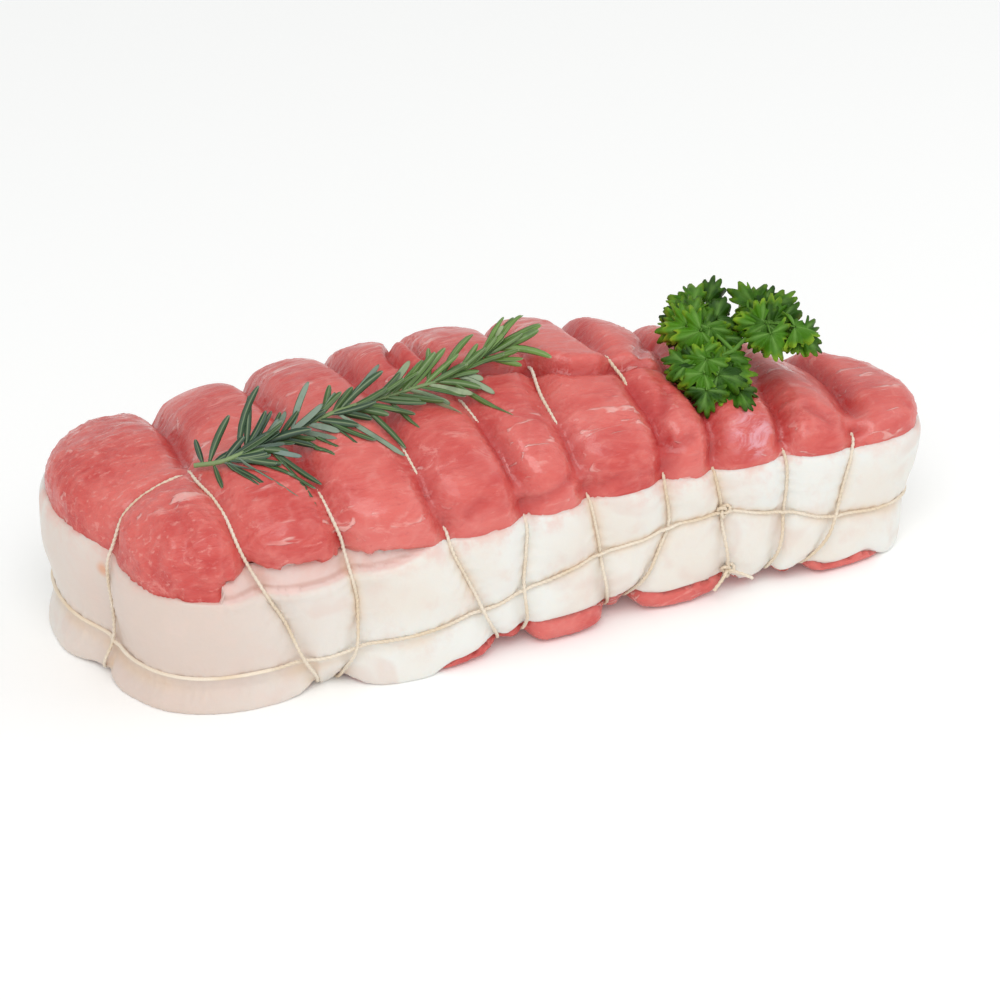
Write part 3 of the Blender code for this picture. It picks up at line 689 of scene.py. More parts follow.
flapEdge = {
    # the seam in plan, from the back left end of the flap round to its right, millimetres
    "points": [(-12, 38), (-19, 29), (-23.5, 20), (-25, 11), (-23.5, 3), (-19, -2), (-12.5, -3.5),
               (-4.6, -7.5), (2, -8), (13, -7), (23, -14.5), (32, -15), (38, -12), (50, -13.5),
               (67, -15)],
    "crevice": 3.2 * mm, "creviceWidth": 1.2 * mm,
    "lip": 1.5 * mm, "lipPlace": 3.4 * mm, "lipWidth": 3.6 * mm,
    "plateau": 1.5 * mm,
    "reach": 24.0 * mm,
}

meatRelief = {
    # depths and heights, and how wide each is across the string
    "channel": 0.9 * mm, "channelWidth": 1.5 * mm,
    "closedCrease": 3.3 * mm, "creaseWidth": 1.9 * mm,
    "shoulder": 0.7 * mm, "shoulderPlace": 6.0 * mm, "shoulderWidth": 3.6 * mm,
    "pillow": 2.2 * mm, "pillowReach": 13.0 * mm,
    "folds": [
        # points of each crossing fold, its depth and width, in millimetres
        ([(64, 12, 65), (54, -2, 69), (46, -12, 70.5)], 1.5, 1.4),
        ([(52.2, -24.2, 66.5), (47, -31, 66), (43, -37, 64.5)], 1.3, 1.3),
        ([(41.5, -41, 60), (44.5, -42.5, 55.5), (49, -43, 57), (53, -42, 58)], 1.2, 1.2),
        ([(17, -44, 48), (22, -45, 50), (29, -43, 53)], 1.3, 1.5),
        ([(-6.5, -48.5, 48.5), (-2, -48, 50.5), (3, -47, 52.5), (11, -46, 56)], 1.0, 1.2),
        ([(-30, -49, 50), (-24, -48, 54), (-19, -46, 56)], 1.0, 1.4),
        ([(-103, -30, 60), (-107, -38, 54), (-106, -45, 47)], 1.6, 2.0),
        ([(-116, -22, 57), (-117, -32, 53), (-114, -41, 47)], 1.5, 2.0),
        ([(92, -34, 57), (96, -38, 54), (101, -42, 49)], 1.2, 1.5)],
    "wrinkle": 0.42 * mm, "wrinkleGap": 2.7 * mm, "wrinkleReach": 5.5 * mm,
    "swell": 0.6 * mm, "swellSize": 17.0,
    "fibre": 0.2 * mm,
    "vein": 0.22 * mm,
    "cutGrain": 0.4 * mm,
    "endFill": 2.4 * mm, "endFillWidth": 5.0 * mm,
    "endFolds": 0.7 * mm, "endFoldGap": 8.5,
}

bottomFat = {"draw": 6.0, "tuck": 1.7}      # millimetres


def bottomShare(x, y):
    # How far the fat runs down to the floor: all the way at the left, less at the right.
    front = ease((-32.0 - x) / 12.0)
    back = ease((-70.0 - x) / 25.0)
    return blendOf(front, back, ease((y + 10.0) / 30.0))


def bottomDrop(x, y):
    # How much lower the sheet's bottom edge comes than in the solid, in millimetres.
    right = max(3.8 * bell(x - 75.0, 13.0), 2.4 * bell(x - 98.0, 14.0))
    return max(4.2 * bottomShare(x, y), right, 5.5 * ease((x - 110.0) / 14.0))


def foldTree():
    # The crossing folds as points that know their depth and width.
    marks = []
    for points, depth, width in meatRelief["folds"]:
        line = evenLine(smoothLine(points, False, 8), False, 0.8)
        for i, p in enumerate(line):
            share = ease(i / 4) * ease((len(line) - 1 - i) / 4)
            marks.append((p * mm, depth * share, width))
    return pointTree([mark[0] for mark in marks]), marks


def flapSide(p):
    # Signed distance in plan to the seam of the flap, positive under the flap, and the
    # share of its strength there.
    best = None
    points = [Vector((x * mm, y * mm, 0.0)) for x, y in flapEdge["points"]]
    flat = Vector((p.x, p.y, 0.0))
    for i, (a, b) in enumerate(zip(points, points[1:])):
        side = b - a
        t = clamp((flat - a).dot(side) / side.length_squared)
        near = a + side * t
        gap = (flat - near).length
        if best is None or gap < best[0]:
            turn = side.x * (flat.y - near.y) - side.y * (flat.x - near.x)
            best = (gap, turn, i + t)
    gap, turn, at = best
    ends = ease(at / 1.5) * ease((len(points) - 1 - at) / 2.5)
    return (gap if turn > 0 else -gap), ends


def sculptMeat():
    lines = loops + [endString]
    pressed = Pressed(lines, [buriedFor(loop) for loop in stringPlan["loops"]] + [endBuried])
    size = meatRelief
    folded, marks = foldTree()
    endTree = pointTree(endString)
    creaseShade, glintAndVein, cut, moves = [], [], [], []
    for vert in meat.data.vertices:
        p = vert.co
        q = p / mm
        gap, run, buried = pressed.find(p)
        move = size["swell"] * noise.noise(q / size["swellSize"])
        move += size["fibre"] * noise.noise(Vector((q.x / 8.0, q.y / 2.3, q.z / 2.3)))
        vein = 1.0 - min(1.0, abs(noise.noise(q / 7.0 + Vector((9.0, 0.0, 0.0)))) * 9.0)
        move += size["vein"] * vein
        end = ease((-98.0 - q.x) / 14.0) * ease((q.z - 30.0) / 10.0)
        rough = noise.noise(q / 2.1) + 0.6 * noise.noise(q / 1.1)
        move += size["cutGrain"] * end * rough
        folds = bell(q.x + 114.0, 11.0) * ease((-18.0 - q.y) / 12.0) * ease((q.z - 34.0) / 8.0)
        foldPhase = q.x / size["endFoldGap"] + 0.9 * noise.noise(q / 15.0)
        move += size["endFolds"] * folds * math.sin(2 * math.pi * foldPhase)
        upper = ease((q.z - 30.0) / 10.0)
        channel = size["channel"] * bell(gap, size["channelWidth"])
        closed = size["closedCrease"] * math.exp(-gap / size["creaseWidth"])
        crown = ease((q.z - 56.0) / 8.0) * ease((12.0 - q.y) / 14.0)
        move -= blendOf(channel, closed, buried * upper) * (1.0 - 0.3 * crown)
        lobe = 1.0 - (1.0 - min(1.0, gap / size["pillowReach"])) ** 2
        level = blendOf(0.95, 0.5, ease((q.z - 46.0) / 12.0))
        move += size["pillow"] * (1.0 - 0.6 * crown) * (lobe - level) * ease((q.z - 42.0) / 8.0)
        endGap = endTree.find(p)[2]
        move += size["endFill"] * bell(endGap, size["endFillWidth"]) * ease((q.z - 50.0) / 6.0)
        near, index, away = folded.find(p)
        place, foldDepth, foldWidth = marks[index]
        inFold = bell(max(0.0, away - 0.8 * mm), foldWidth * mm)
        move -= foldDepth * inFold * mm
        move += size["shoulder"] * bell(gap - size["shoulderPlace"], size["shoulderWidth"])
        fade = math.exp(-gap / size["wrinkleReach"]) * ease(gap / (1.6 * mm))
        patch = ease(0.5 + 1.8 * noise.noise(Vector((run / 0.017, q.x / 30.0, 3.0))))
        phase = run / size["wrinkleGap"] + 1.5 * noise.noise(q / 6.0)
        ridge = math.sin(2 * math.pi * phase)
        move += size["wrinkle"] * fade * patch * ridge
        # Painted shade: darker red along the strings, deeper where the meat closes over them, in
        # the crossing folds and in the flap's seam.
        red = blendOf(0.5, 1.0, buried) * bell(gap, blendOf(2.0, 3.2, buried) * mm)
        red += 0.6 * inFold * min(1.0, foldDepth)
        if q.z > 54.0:
            side, ends = flapSide(p)
            if abs(side) < flapEdge["reach"]:
                seam = bell(side + 0.4 * mm, flapEdge["creviceWidth"])
                move -= flapEdge["crevice"] * ends * seam
                if side > 0:
                    lip = bell(side - flapEdge["lipPlace"], flapEdge["lipWidth"])
                    move += flapEdge["lip"] * ends * lip
                    rise = ease(side / (3.0 * mm)) * ease((0.022 - side) / 0.016)
                    move += flapEdge["plateau"] * ends * rise
                red += 0.9 * ends * bell(side + 0.4 * mm, 1.8 * mm)
        moves.append(vert.normal * move)
        creaseShade.append(min(1.0, red))
        # Painted highlight: wrinkle crests near the strings are paler, standing in for glints; the
        # veins add their own paler colour.
        glintAndVein.append(clamp(0.8 * fade * patch * (0.5 + 0.5 * ridge) + 0.4 * vein))
        cut.append(end)
    for vert, move in zip(meat.data.vertices, moves):
        vert.co += move
        x, y, z = vert.co / mm
        share = bottomShare(x, y) * ease((bottomFat["draw"] - z) / bottomFat["draw"] + 0.35)
        if z < bottomFat["draw"] and share > 0.0:
            flat = Vector((x, y + 4.0, 0.0))
            core = Vector((clamp(x, -88.0, 88.0), 0.0, 0.0))
            if (flat - core).length > 36.0:
                vert.co -= (flat - core).normalized() * bottomFat["tuck"] * share * mm
        vert.co.z = max(vert.co.z, 0.0)
    paint(meat, "creaseShade", creaseShade)
    paint(meat, "glintAndVein", glintAndVein)
    paint(meat, "cut", cut)


fatRelief = {
    "channel": 0.75 * mm, "channelWidth": 1.4 * mm,
    "swell": 0.6 * mm, "swellSize": 14.0,
    "pucker": 0.3 * mm, "puckerGap": 4.6 * mm, "puckerReach": 4.5 * mm,
}

overlapStrip = {
    # the tucked end of the sheet: its cut end, where it runs out, and the outer sheet's edge
    "from": -105.0, "to": -36.0,
    "edge": [(-125.0, 43.5), (-116.0, 40.5), (-105.0, 39.2), (-88.0, 38.4), (-65.0, 39.0),
             (-50.0, 41.6), (-36.0, 45.0)],
    "step": 2.0 * mm,
    "brim": 0.7 * mm,
}


def stripAt(q):
    # How far a place is set back behind the outer sheet's edge, how much painted shade the
    # corner gets, and how much it belongs to the edge's raised brim.
    if q.y > -20.0 or not overlapStrip["from"] <= q.x <= overlapStrip["to"]:
        return 0.0, 0.0, 0.0
    above = q.z - along(overlapStrip["edge"], q.x)
    fade = ease((overlapStrip["to"] - q.x) / 14.0)
    shares = (ease((above + 0.4) / 0.8), bell(above - 0.5, 0.9), bell(above + 1.8, 1.5))
    return tuple(fade * share for share in shares)


def sculptFat():
    lines = loops + [endString, belt]
    pressed = Pressed(lines, [unburied] * len(lines))
    size = fatRelief
    meatTree = treeOf(meat)
    press, stripTintAndShade, rim, moves = [], [], [], []
    for vert in fat.data.vertices:
        p = vert.co
        q = p / mm
        gap, run, buried = pressed.find(p)
        move = size["swell"] * noise.noise(q / size["swellSize"])
        move -= size["channel"] * bell(gap, size["channelWidth"])
        fade = math.exp(-gap / size["puckerReach"]) * ease(gap / size["channelWidth"])
        phase = run / size["puckerGap"] + noise.noise(q / 8.0)
        move += size["pucker"] * fade * math.sin(2 * math.pi * phase)
        back, shade, brim = stripAt(q)
        near, normal, index, far = meatTree.find_nearest(p)
        inner = near is not None and far < 2.5 * mm and vert.normal.dot(normal) < -0.3
        if inner:
            move = bodySizes["fatIntoMeat"]      # the inner side sinks into the meat
            step = Vector((0.0, 0.0, 0.0))
        else:
            move += overlapStrip["brim"] * brim
            step = Vector((0.0, 1.0, 0.0)) * overlapStrip["step"] * back
        if -127.0 < q.x < overlapStrip["from"] and q.y < -22.0 and q.z > 38.0:
            top = along(overlapStrip["edge"], q.x) - 0.6
            share = ease((overlapStrip["from"] - q.x) / 0.6) * ease((q.x + 127.0) / 5.0)
            if q.z > top:
                step += Vector((0.0, 0.0, (top - q.z) * 0.92 * share * mm))
        drop = bottomDrop(q.x, q.y) * ease((26.0 - q.z) / 18.0)
        step += Vector((0.0, 0.0, -drop * mm))
        moves.append(vert.normal * move + step)
        press.append(bell(gap, 1.7 * mm))
        # The strip's pinker tint, and painted shade along the outer sheet's edge.
        stripTintAndShade.append(0.5 * back + 0.5 * shade)
        rim.append(ease((q.z - 36.0) / 10.0) * ease((3.2 * mm - far) / (2.4 * mm)))
    for vert, move in zip(fat.data.vertices, moves):
        vert.co += move
        vert.co.z = max(vert.co.z, 0.15 * mm)
    paint(fat, "press", press)
    paint(fat, "stripTintAndShade", stripTintAndShade)
    paint(fat, "rim", rim)


tuck = {"below": 52.0, "low": 1.5, "high": 1.0, "behindStrip": 1.8}      # millimetres


def tuckMeat():
    # Where the fat lies over the meat, the meat stays behind the fat's outer side.
    fatTree = treeOf(fat)
    lead = 6.0 * mm
    rims = []
    for vert in meat.data.vertices:
        x, y, z = vert.co / mm
        if z > tuck["below"]:
            continue
        core = Vector((clamp(x, -86.0, 88.0), clamp(y, -6.0, 2.0), 0.0))
        out = Vector((x, y, 0.0)) - core
        if out.length < 20.0:
            continue
        out.normalize()
        place, normal, index, gap = fatTree.ray_cast(vert.co + out * lead, -out)
        depth = blendOf(tuck["low"], tuck["high"], ease((z - 30.0) / 8.0))
        depth += tuck["behindStrip"] * stripAt(vert.co / mm)[0]
        if place is not None and gap < lead + depth * mm:
            vert.co = place - out * depth * mm
        if z > 32.0 and fatTree.find_nearest(vert.co)[3] < 2.2 * mm:
            rims.append(vert.index)
    only(meat)
    bpy.ops.object.mode_set(mode="EDIT")
    bpy.ops.mesh.select_mode(type="VERT")
    bpy.ops.mesh.select_all(action="DESELECT")
    bpy.ops.object.mode_set(mode="OBJECT")
    for index in rims:
        meat.data.vertices[index].select = True
    bpy.ops.object.mode_set(mode="EDIT")
    bpy.ops.mesh.vertices_smooth(factor=0.5, repeat=5)
    bpy.ops.mesh.select_all(action="DESELECT")
    bpy.ops.object.mode_set(mode="OBJECT")


sculptMeat()
sculptFat()
tuckMeat()
surface = Surface(meat, fat)
fine = stringPlan["fineSearch"]
loops = [run.laid(surface, fine, buriedFor(loop))
         for run, loop in zip(loopRuns, stringPlan["loops"])]
endString = endStringRun.laid(surface, fine, endBuried)
belt = overLoops(lengthRun.laid(surface, fine, unburied), lengthRun.inward, loops + [endString])
print("meat and fat sculpted")
lengths = [round(len(line) * stringPlan["gap"] / mm) for line in loops + [endString, belt]]
print("string lengths in mm:", lengths)


def meatLook():
    look = Look("raw_veal", {"Subsurface Weight": 0.2, "Subsurface Radius": (1.0, 0.32, 0.24),
                             "Subsurface Scale": 0.003, "Coat Roughness": 0.13,
                             "Specular IOR Level": 0.45})
    broad = look.grain(34.0, 3.0, 0.55)
    fibre = look.grain(190.0, 4.0, 0.62, (0.3, 1.0, 1.0), 0.8)
    fine = look.grain(640.0, 3.0, 0.6, (0.4, 1.0, 1.0))
    veil = look.grain(105.0, 5.0, 0.68, (0.5, 1.0, 1.0), 1.6)
    glintStreak = look.grain(330.0, 2.0, 0.5, (0.16, 1.0, 0.8), 0.9)
    patch = look.step(look.grain(62.0, 2.0, 0.5, (0.7, 1.0, 1.0)), 0.50, 0.62)
    creaseShade = look.painted("creaseShade")
    glintAndVein = look.painted("glintAndVein")
    cut = look.painted("cut")
    # Painted highlight: thin light streaks, in patches and along the wrinkle crests, stand in for
    # glints.
    lines = look.step(glintStreak, 0.60, 0.68) * (patch * 0.8 + glintAndVein * 0.5)
    grains = look.step(fine, 0.56, 0.72) * (cut * 0.38 + 0.12)
    fascia = look.spot((72.0, -42.0, 54.0), 4.0, 10.0) * look.step(veil, 0.42, 0.6)
    look.put("Base Color", look.layered(rgb(200, 68, 64), [
        (look.step(broad, 0.36, 0.66), (220, 100, 92)),
        (look.step(fibre, 0.35, 0.7) * 0.5, (227, 118, 108)),
        (look.step(veil, 0.58, 0.70) * 0.5, (238, 158, 149)),
        (look.step(veil, 0.42, 0.28) * 0.45, (186, 54, 54)),
        # painted glint streaks
        (lines * 0.75, (246, 196, 188)),
        # painted glints on the wrinkle crests, with the veins' paler colour
        (glintAndVein * 0.35, (238, 165, 155)),
        (grains, (240, 168, 158)),
        # painted shade in the string creases, the folds and the flap's seam
        (creaseShade * 0.72, (182, 42, 44)),
        (fascia * 0.7, (232, 176, 186))]))
    look.put("Roughness", 0.30 + 0.24 * fibre)
    look.put("Coat Weight", look.step(broad, 0.3, 0.7) * 0.35 + patch * 0.35 + 0.1)
    look.relief(fibre * 0.7 + fine * (0.3 + cut * 0.5) + veil * 0.6 + lines * 0.5, 0.0009, 0.85)
    return look


def fatLook():
    look = Look("veal_fat", {"Subsurface Weight": 0.25, "Subsurface Radius": (1.0, 0.75, 0.6),
                             "Subsurface Scale": 0.003, "Coat Weight": 0.2,
                             "Coat Roughness": 0.25})
    broad = look.grain(26.0, 3.0, 0.5)
    mid = look.grain(110.0, 4.0, 0.6)
    fine = look.grain(700.0, 3.0, 0.6)
    press = look.painted("press")
    stripTintAndShade = look.painted("stripTintAndShade")
    rim = look.painted("rim")
    # Painted shade at the left end: darker, with a pinker tint.
    left = look.spot((-140.0, -45.0, 20.0), 25.0, 95.0)
    milky = look.step(look.grain(46.0, 2.0, 0.5, None, 0.7), 0.52, 0.68)
    stain = look.spot((-129.6, -12.5, 37.6), 0.8, 3.4)
    look.put("Base Color", look.layered(rgb(234, 234, 229), [
        (look.step(broad, 0.40, 0.7), (232, 225, 215)),
        # painted shade at the left end
        (left * 0.8, (217, 194, 181)),
        (look.step(mid, 0.50, 0.75) * 0.4, (229, 206, 195)),
        (milky * 0.5, (224, 204, 194)),
        (look.step(stripTintAndShade, 0.0, 0.5) * 0.7, (232, 201, 194)),
        # painted shade along the outer sheet's edge
        (look.step(stripTintAndShade, 0.55, 0.95) * 0.6, (206, 164, 150)),
        (rim * look.step(mid, 0.40, 0.62) * 0.55, (230, 178, 166)),
        (press * look.step(broad, 0.34, 0.6) * 0.6, (232, 203, 170)),
        (stain * 0.75, (226, 160, 118))]))
    look.put("Roughness", 0.40 + 0.2 * mid)
    look.relief(mid * 0.8 + fine * 0.3, 0.0006, 0.6)
    return look


dress(meat, meatLook(), "meat")
dress(fat, fatLook(), "fat_band")


# String as a twisted three-strand cord.

def strandProfile():
    # Cross-section with a bulge for each strand.
    bpy.ops.object.select_all(action="DESELECT")
    bpy.ops.curve.primitive_nurbs_circle_add(radius=1.0)
    circle = bpy.context.view_layer.objects.active
    circle.name = "strand_profile"
    curve = circle.data
    curve.splines.clear()
    path = curve.splines.new("POLY")
    count = 12
    path.points.add(count - 1)
    for i, point in enumerate(path.points):
        turn = 2 * math.pi * i / count
        r = stringPlan["radius"] * (0.86 + 0.16 * math.cos(stringPlan["lobes"] * turn))
        point.co = (r * math.cos(turn), r * math.sin(turn), 0.0, 1.0)
    path.use_cyclic_u = True
    return circle


def cordMesh(name, line, closed, profile, gap):
    settings = {"bevel_mode": "OBJECT", "bevel_object": profile, "twist_mode": "MINIMUM"}
    turns = round(len(line) * gap / stringPlan["twist"])
    return curveMesh(name, line, settings, closed, turns)


knots = {
    "belt": (61.5, 30.5), "low": (63.5, 9.0),      # x and z in the frame, millimetres
    "size": 1.15 * mm,
    "gap": 0.6 * mm,
    "tails": [(-7.0, -5.0, -3.6), (6.5, -5.0, -2.2)],
}


def knotLine(centre, size):
    # The string's turns in a knot.
    line = []
    for i in range(48):
        t = 2 * math.pi * i / 48
        line.append(centre + size * Vector((math.sin(t) + 2 * math.sin(2 * t),
                                            -0.9 * math.sin(3 * t),
                                            math.cos(t) - 2 * math.cos(2 * t))) * 0.62)
    return line


def makeTwine():
    profile = strandProfile()
    pieces = []
    for line in loops + [belt]:
        pieces.append(cordMesh("turn", line, True, profile, stringPlan["gap"]))
    pieces.append(cordMesh("turn", endString, False, profile, stringPlan["gap"]))
    for x, z in (knots["belt"], knots["low"]):
        centre = sidePoint(x * mm, z * mm, True) - Vector((0.0, 1.6 * mm, 0.0))
        line = knotLine(centre, knots["size"])
        pieces.append(cordMesh("knot", line, True, profile, knots["gap"]))
    for dx, dy, dz in knots["tails"]:
        tail = [centre, centre + Vector((dx * 0.5, dy * 0.7, dz * 0.2)) * mm,
                centre + Vector((dx, dy * 0.9, dz)) * mm]
        tail = evenLine(smoothLine(tail, False, 8), False, knots["gap"])
        pieces.append(cordMesh("tail", tail, False, profile, knots["gap"]))
    twine = joined(pieces, "tied_twine")
    discard(profile)
    return twine


def twineLook():
    look = Look("cotton_twine", {"Roughness": 0.85, "Specular IOR Level": 0.2,
                                 "Sheen Weight": 0.25})
    broad = look.grain(60.0, 2.0, 0.5)
    fuzz = look.grain(2600.0, 3.0, 0.7)
    look.put("Base Color", look.layered(rgb(243, 231, 213), [
        (look.step(broad, 0.35, 0.7), (232, 212, 184)),
        (look.step(fuzz, 0.5, 0.75) * 0.35, (214, 188, 156))]))
    look.relief(fuzz, 0.00015, 0.6)
    return look


twine = makeTwine()
dress(twine, twineLook(), "twine")
print("twine:", len(twine.data.polygons), "faces")


# The camera's place, and the directions right, up and away in its picture, by which the
# garnish is arranged as it lies in the photograph.

photoView = {
    "aim": (-9.5, -20.1, 36.0),       # millimetres
    "turn": 24.0,
    "tilt": 29.0,
    "distance": 1.3,
    "lens": 152.1,
    "shift": (0.018, 0.005),
}


def pictureAxes():
    turn, tilt = math.radians(photoView["turn"]), math.radians(photoView["tilt"])
    away = Vector((math.sin(turn) * math.cos(tilt), math.cos(turn) * math.cos(tilt),
                   -math.sin(tilt)))
    right = away.cross(Vector((0.0, 0.0, 1.0))).normalized()
    return right, right.cross(away).normalized(), away


def arranged(right, up):
    # A step in the picture that also climbs back over the roast or comes down its front.
    lean = 0.5 if up < 0 else 0.2
    return pictureRight * right + pictureUp * up + pictureAway * (up * lean)


pictureRight, pictureUp, pictureAway = pictureAxes()
garnishTop = 90.4      # millimetres


# Rosemary: one needle is modelled, then copied and bent along the stem.

rosemary = {
    "stem": [(-99, -16), (-91, -21), (-79, -20), (-55, -16), (-32, -14), (-10, -12), (4, -7)],
    "stemRadius": 0.8 * mm,
    # share of the stem, angle to it in degrees, length in millimetres and curl
    "needles": [
        (0.06, 100, 7.9, 0), (0.09, 59, 15.7, -0.3), (0.11, 23, 7.2, -0.2),
        (0.24, 50, 21.5, -0.6), (0.27, 62, 16.7, 0.1), (0.3, 39, 12.5, -0.2),
        (0.36, 49, 9.1, -0.3), (0.41, 47, 15.9, -0.3), (0.48, 54, 10, 0), (0.52, 21, 17.7, -0.3),
        (0.63, 21, 12.9, -0.3), (0.74, 72, 11, 0), (0.77, 36, 17.8, -0.5), (0.82, 29, 10.8, 0),
        (0.88, 29, 20.6, 0.5), (0.94, 16, 17.5, 0.3), (1.0, -26, 11.6, 0), (0.94, -46, 19.7, -0.7),
        (0.91, -53, 12.3, 0), (0.81, -53, 13.3, -0.2), (0.78, -54, 24.2, 0),
        (0.69, -42, 18.1, -0.2), (0.63, -62, 15.4, -0.3), (0.57, -61, 19.4, -0.2),
        (0.51, -54, 24.9, 0), (0.48, -47, 17.6, 0.2), (0.41, -60, 16.3, -0.2),
        (0.48, -74, 20.4, -0.6), (0.43, -66, 22.9, -0.5), (0.32, -37, 13.6, 0.2),
        (0.34, -59, 21.3, 0.2), (0.24, -49, 25.1, -0.2), (0.22, -60, 23.7, 0),
        (0.34, -76, 26.5, -0.3), (0.16, -57, 14.2, 0.1), (0.17, -61, 18.7, -0.2),
        (0.11, -80, 8.8, 0), (0.22, -33, 12.7, 0.2), (0.17, -13, 13.4, 0.2)],
    "fillers": 70,
    "width": 2.45 * mm,
    "seed": 5,
}


def makeNeedle():
    # A flat eight-sided blade along +Y, one unit long, its edges rolled under.
    bpy.ops.object.select_all(action="DESELECT")
    bpy.ops.mesh.primitive_circle_add(vertices=8, radius=0.5, fill_type="NGON",
                                      rotation=(math.radians(90), 0.0, 0.0))
    needle = bpy.context.view_layer.objects.active
    bpy.ops.object.transform_apply(location=True, rotation=True, scale=True)
    bpy.ops.object.mode_set(mode="EDIT")
    bpy.ops.mesh.select_all(action="SELECT")
    bpy.ops.transform.resize(value=(0.34, 1.0, 0.30))
    sizes = [(0.10, 1.5), (0.14, 1.55), (0.16, 1.2), (0.17, 1.02), (0.16, 0.95),
             (0.14, 0.85), (0.08, 0.7), (0.05, 0.45)]
    for step, grow in sizes:
        bpy.ops.mesh.extrude_region_move(TRANSFORM_OT_translate={"value": (0.0, step, 0.0)})
        bpy.ops.transform.resize(value=(grow, 1.0, min(1.0, grow)))
    bpy.ops.mesh.select_all(action="SELECT")
    bpy.ops.mesh.normals_make_consistent(inside=False)
    bpy.ops.object.mode_set(mode="OBJECT")
    wide = max(abs(v.co.x) for v in needle.data.vertices)
    for vert in needle.data.vertices:
        vert.co.x /= wide
        side = abs(vert.co.x)
        vert.co.z = vert.co.z * 0.9 - 0.22 * side * side
        if vert.co.z > 0.0 and side < 0.35:
            vert.co.z -= 0.07           # groove along the middle
    return needle


def bentNeedle(needle, root, heading, bend, face, length, width, curl, tint):
    # A copy of the needle that leaves its root along heading and curls toward bend.
    copy = linked(needle.name, needle.data.copy())
    curl = curl if abs(curl) > 0.01 else 0.01
    unders, sides = [], []
    for vert in copy.data.vertices:
        t, x, z = vert.co.y, vert.co.x, vert.co.z
        turn = curl * t
        spine = root + (heading * math.sin(turn) + bend * (1 - math.cos(turn))) * (length / curl)
        onward = heading * math.cos(turn) + bend * math.sin(turn)
        side = onward.cross(face).normalized()
        lean = side.cross(onward)
        vert.co = spine + side * (x * width / 2) + lean * (z * width * 0.62)
        unders.append(1.0 if z < -0.02 else 0.0)
        sides.append(abs(x))
    paintAll(copy, tint=tint)
    paint(copy, "under", unders)
    paint(copy, "across", sides)
    return copy


def stemCourse():
    dx, dy = stringPlan["offset"]
    plan = smoothLine([((x + dx) * mm, (y + dy) * mm, 0.0) for x, y in rosemary["stem"]], False, 6)
    line = []
    for i, p in enumerate(plan):
        t = i / (len(plan) - 1)
        z = surface.height(p.x, p.y)
        for k in range(6):
            turn = k * math.pi / 3
            z = max(z, surface.height(p.x + 2.5 * mm * math.cos(turn),
                                      p.y + 2.5 * mm * math.sin(turn)))
        line.append(Vector((p.x, p.y, z + blendOf(1.5, 3.6, ease(t * 1.6)) * mm)))
    for _ in range(8):
        for i in range(1, len(line) - 1):
            line[i].z = (line[i - 1].z + 2 * line[i].z + line[i + 1].z) / 4
    return line


def needlePlan(rng):
    # The needles that stand out in the photograph, and shorter ones close to the stem.
    plan = list(rosemary["needles"])
    for n in range(rosemary["fillers"]):
        t = 0.14 + 0.86 * (n + rng.random()) / rosemary["fillers"]
        side = 1 if n % 2 else -1
        plan.append((t, side * rng.uniform(4, 38), rng.uniform(9.0, 17.0), rng.uniform(-0.4, 0.3)))
    return plan


def makeRosemary():
    rng = random.Random(rosemary["seed"])
    course = stemCourse()
    needle = makeNeedle()
    pieces = []
    for t, angle, length, curl in needlePlan(rng):
        at = t * (len(course) - 1)
        k = min(int(at), len(course) - 2)
        root = course[k].lerp(course[k + 1], at - k)
        ahead = course[min(k + 3, len(course) - 1)] - course[max(k - 2, 0)]
        stemAngle = math.atan2(ahead.dot(pictureUp), ahead.dot(pictureRight))
        turn = stemAngle + math.radians(angle) - curl / 2
        heading = arranged(math.cos(turn), math.sin(turn))
        stretch = heading.length
        heading.normalize()
        bend = heading.cross(pictureAway).normalized()
        roll = rng.uniform(-0.7, 0.7) if rng.random() > 0.22 else rng.uniform(2.2, 3.4)
        face = (-pictureAway + Vector((0.0, 0.0, 0.6))).normalized()
        face = (face * math.cos(roll) + bend * math.sin(roll)).normalized()
        width = rosemary["width"] * rng.uniform(0.72, 1.05) * (0.72 if angle < -55 else 1.0)
        tint = clamp(0.12 + 0.68 * ease((t - 0.35) / 0.6) + rng.uniform(-0.2, 0.2))
        piece = bentNeedle(needle, root, heading, bend, face, length * stretch * mm, width,
                           curl, tint)
        settle(piece)
        pieces.append(piece)
    stem = stemMesh("stem", course, rosemary["stemRadius"], 0.75)
    paintAll(stem, tint=0.8, under=0.5, across=0.5)
    pieces.append(stem)
    sprig = joined(pieces, "rosemary_leaves")
    discard(needle)
    return sprig


def settle(piece, over=0.5 * mm):
    # Lifts the parts of a leaf that would lie in the meat, and bends back the tallest.
    for vert in piece.data.vertices:
        high = vert.co.z - (garnishTop - 4.0) * mm
        if high > 0.0:
            vert.co.z -= high * high / (high + 4.0 * mm)
        ground = surface.height(vert.co.x, vert.co.y) + over
        if vert.co.z < ground:
            vert.co.z = ground + 0.15 * (vert.co.z - ground)


def stemMesh(name, line, radius, taper):
    return curveMesh(name, line, {"bevel_depth": radius, "bevel_resolution": 2}, taper=taper)


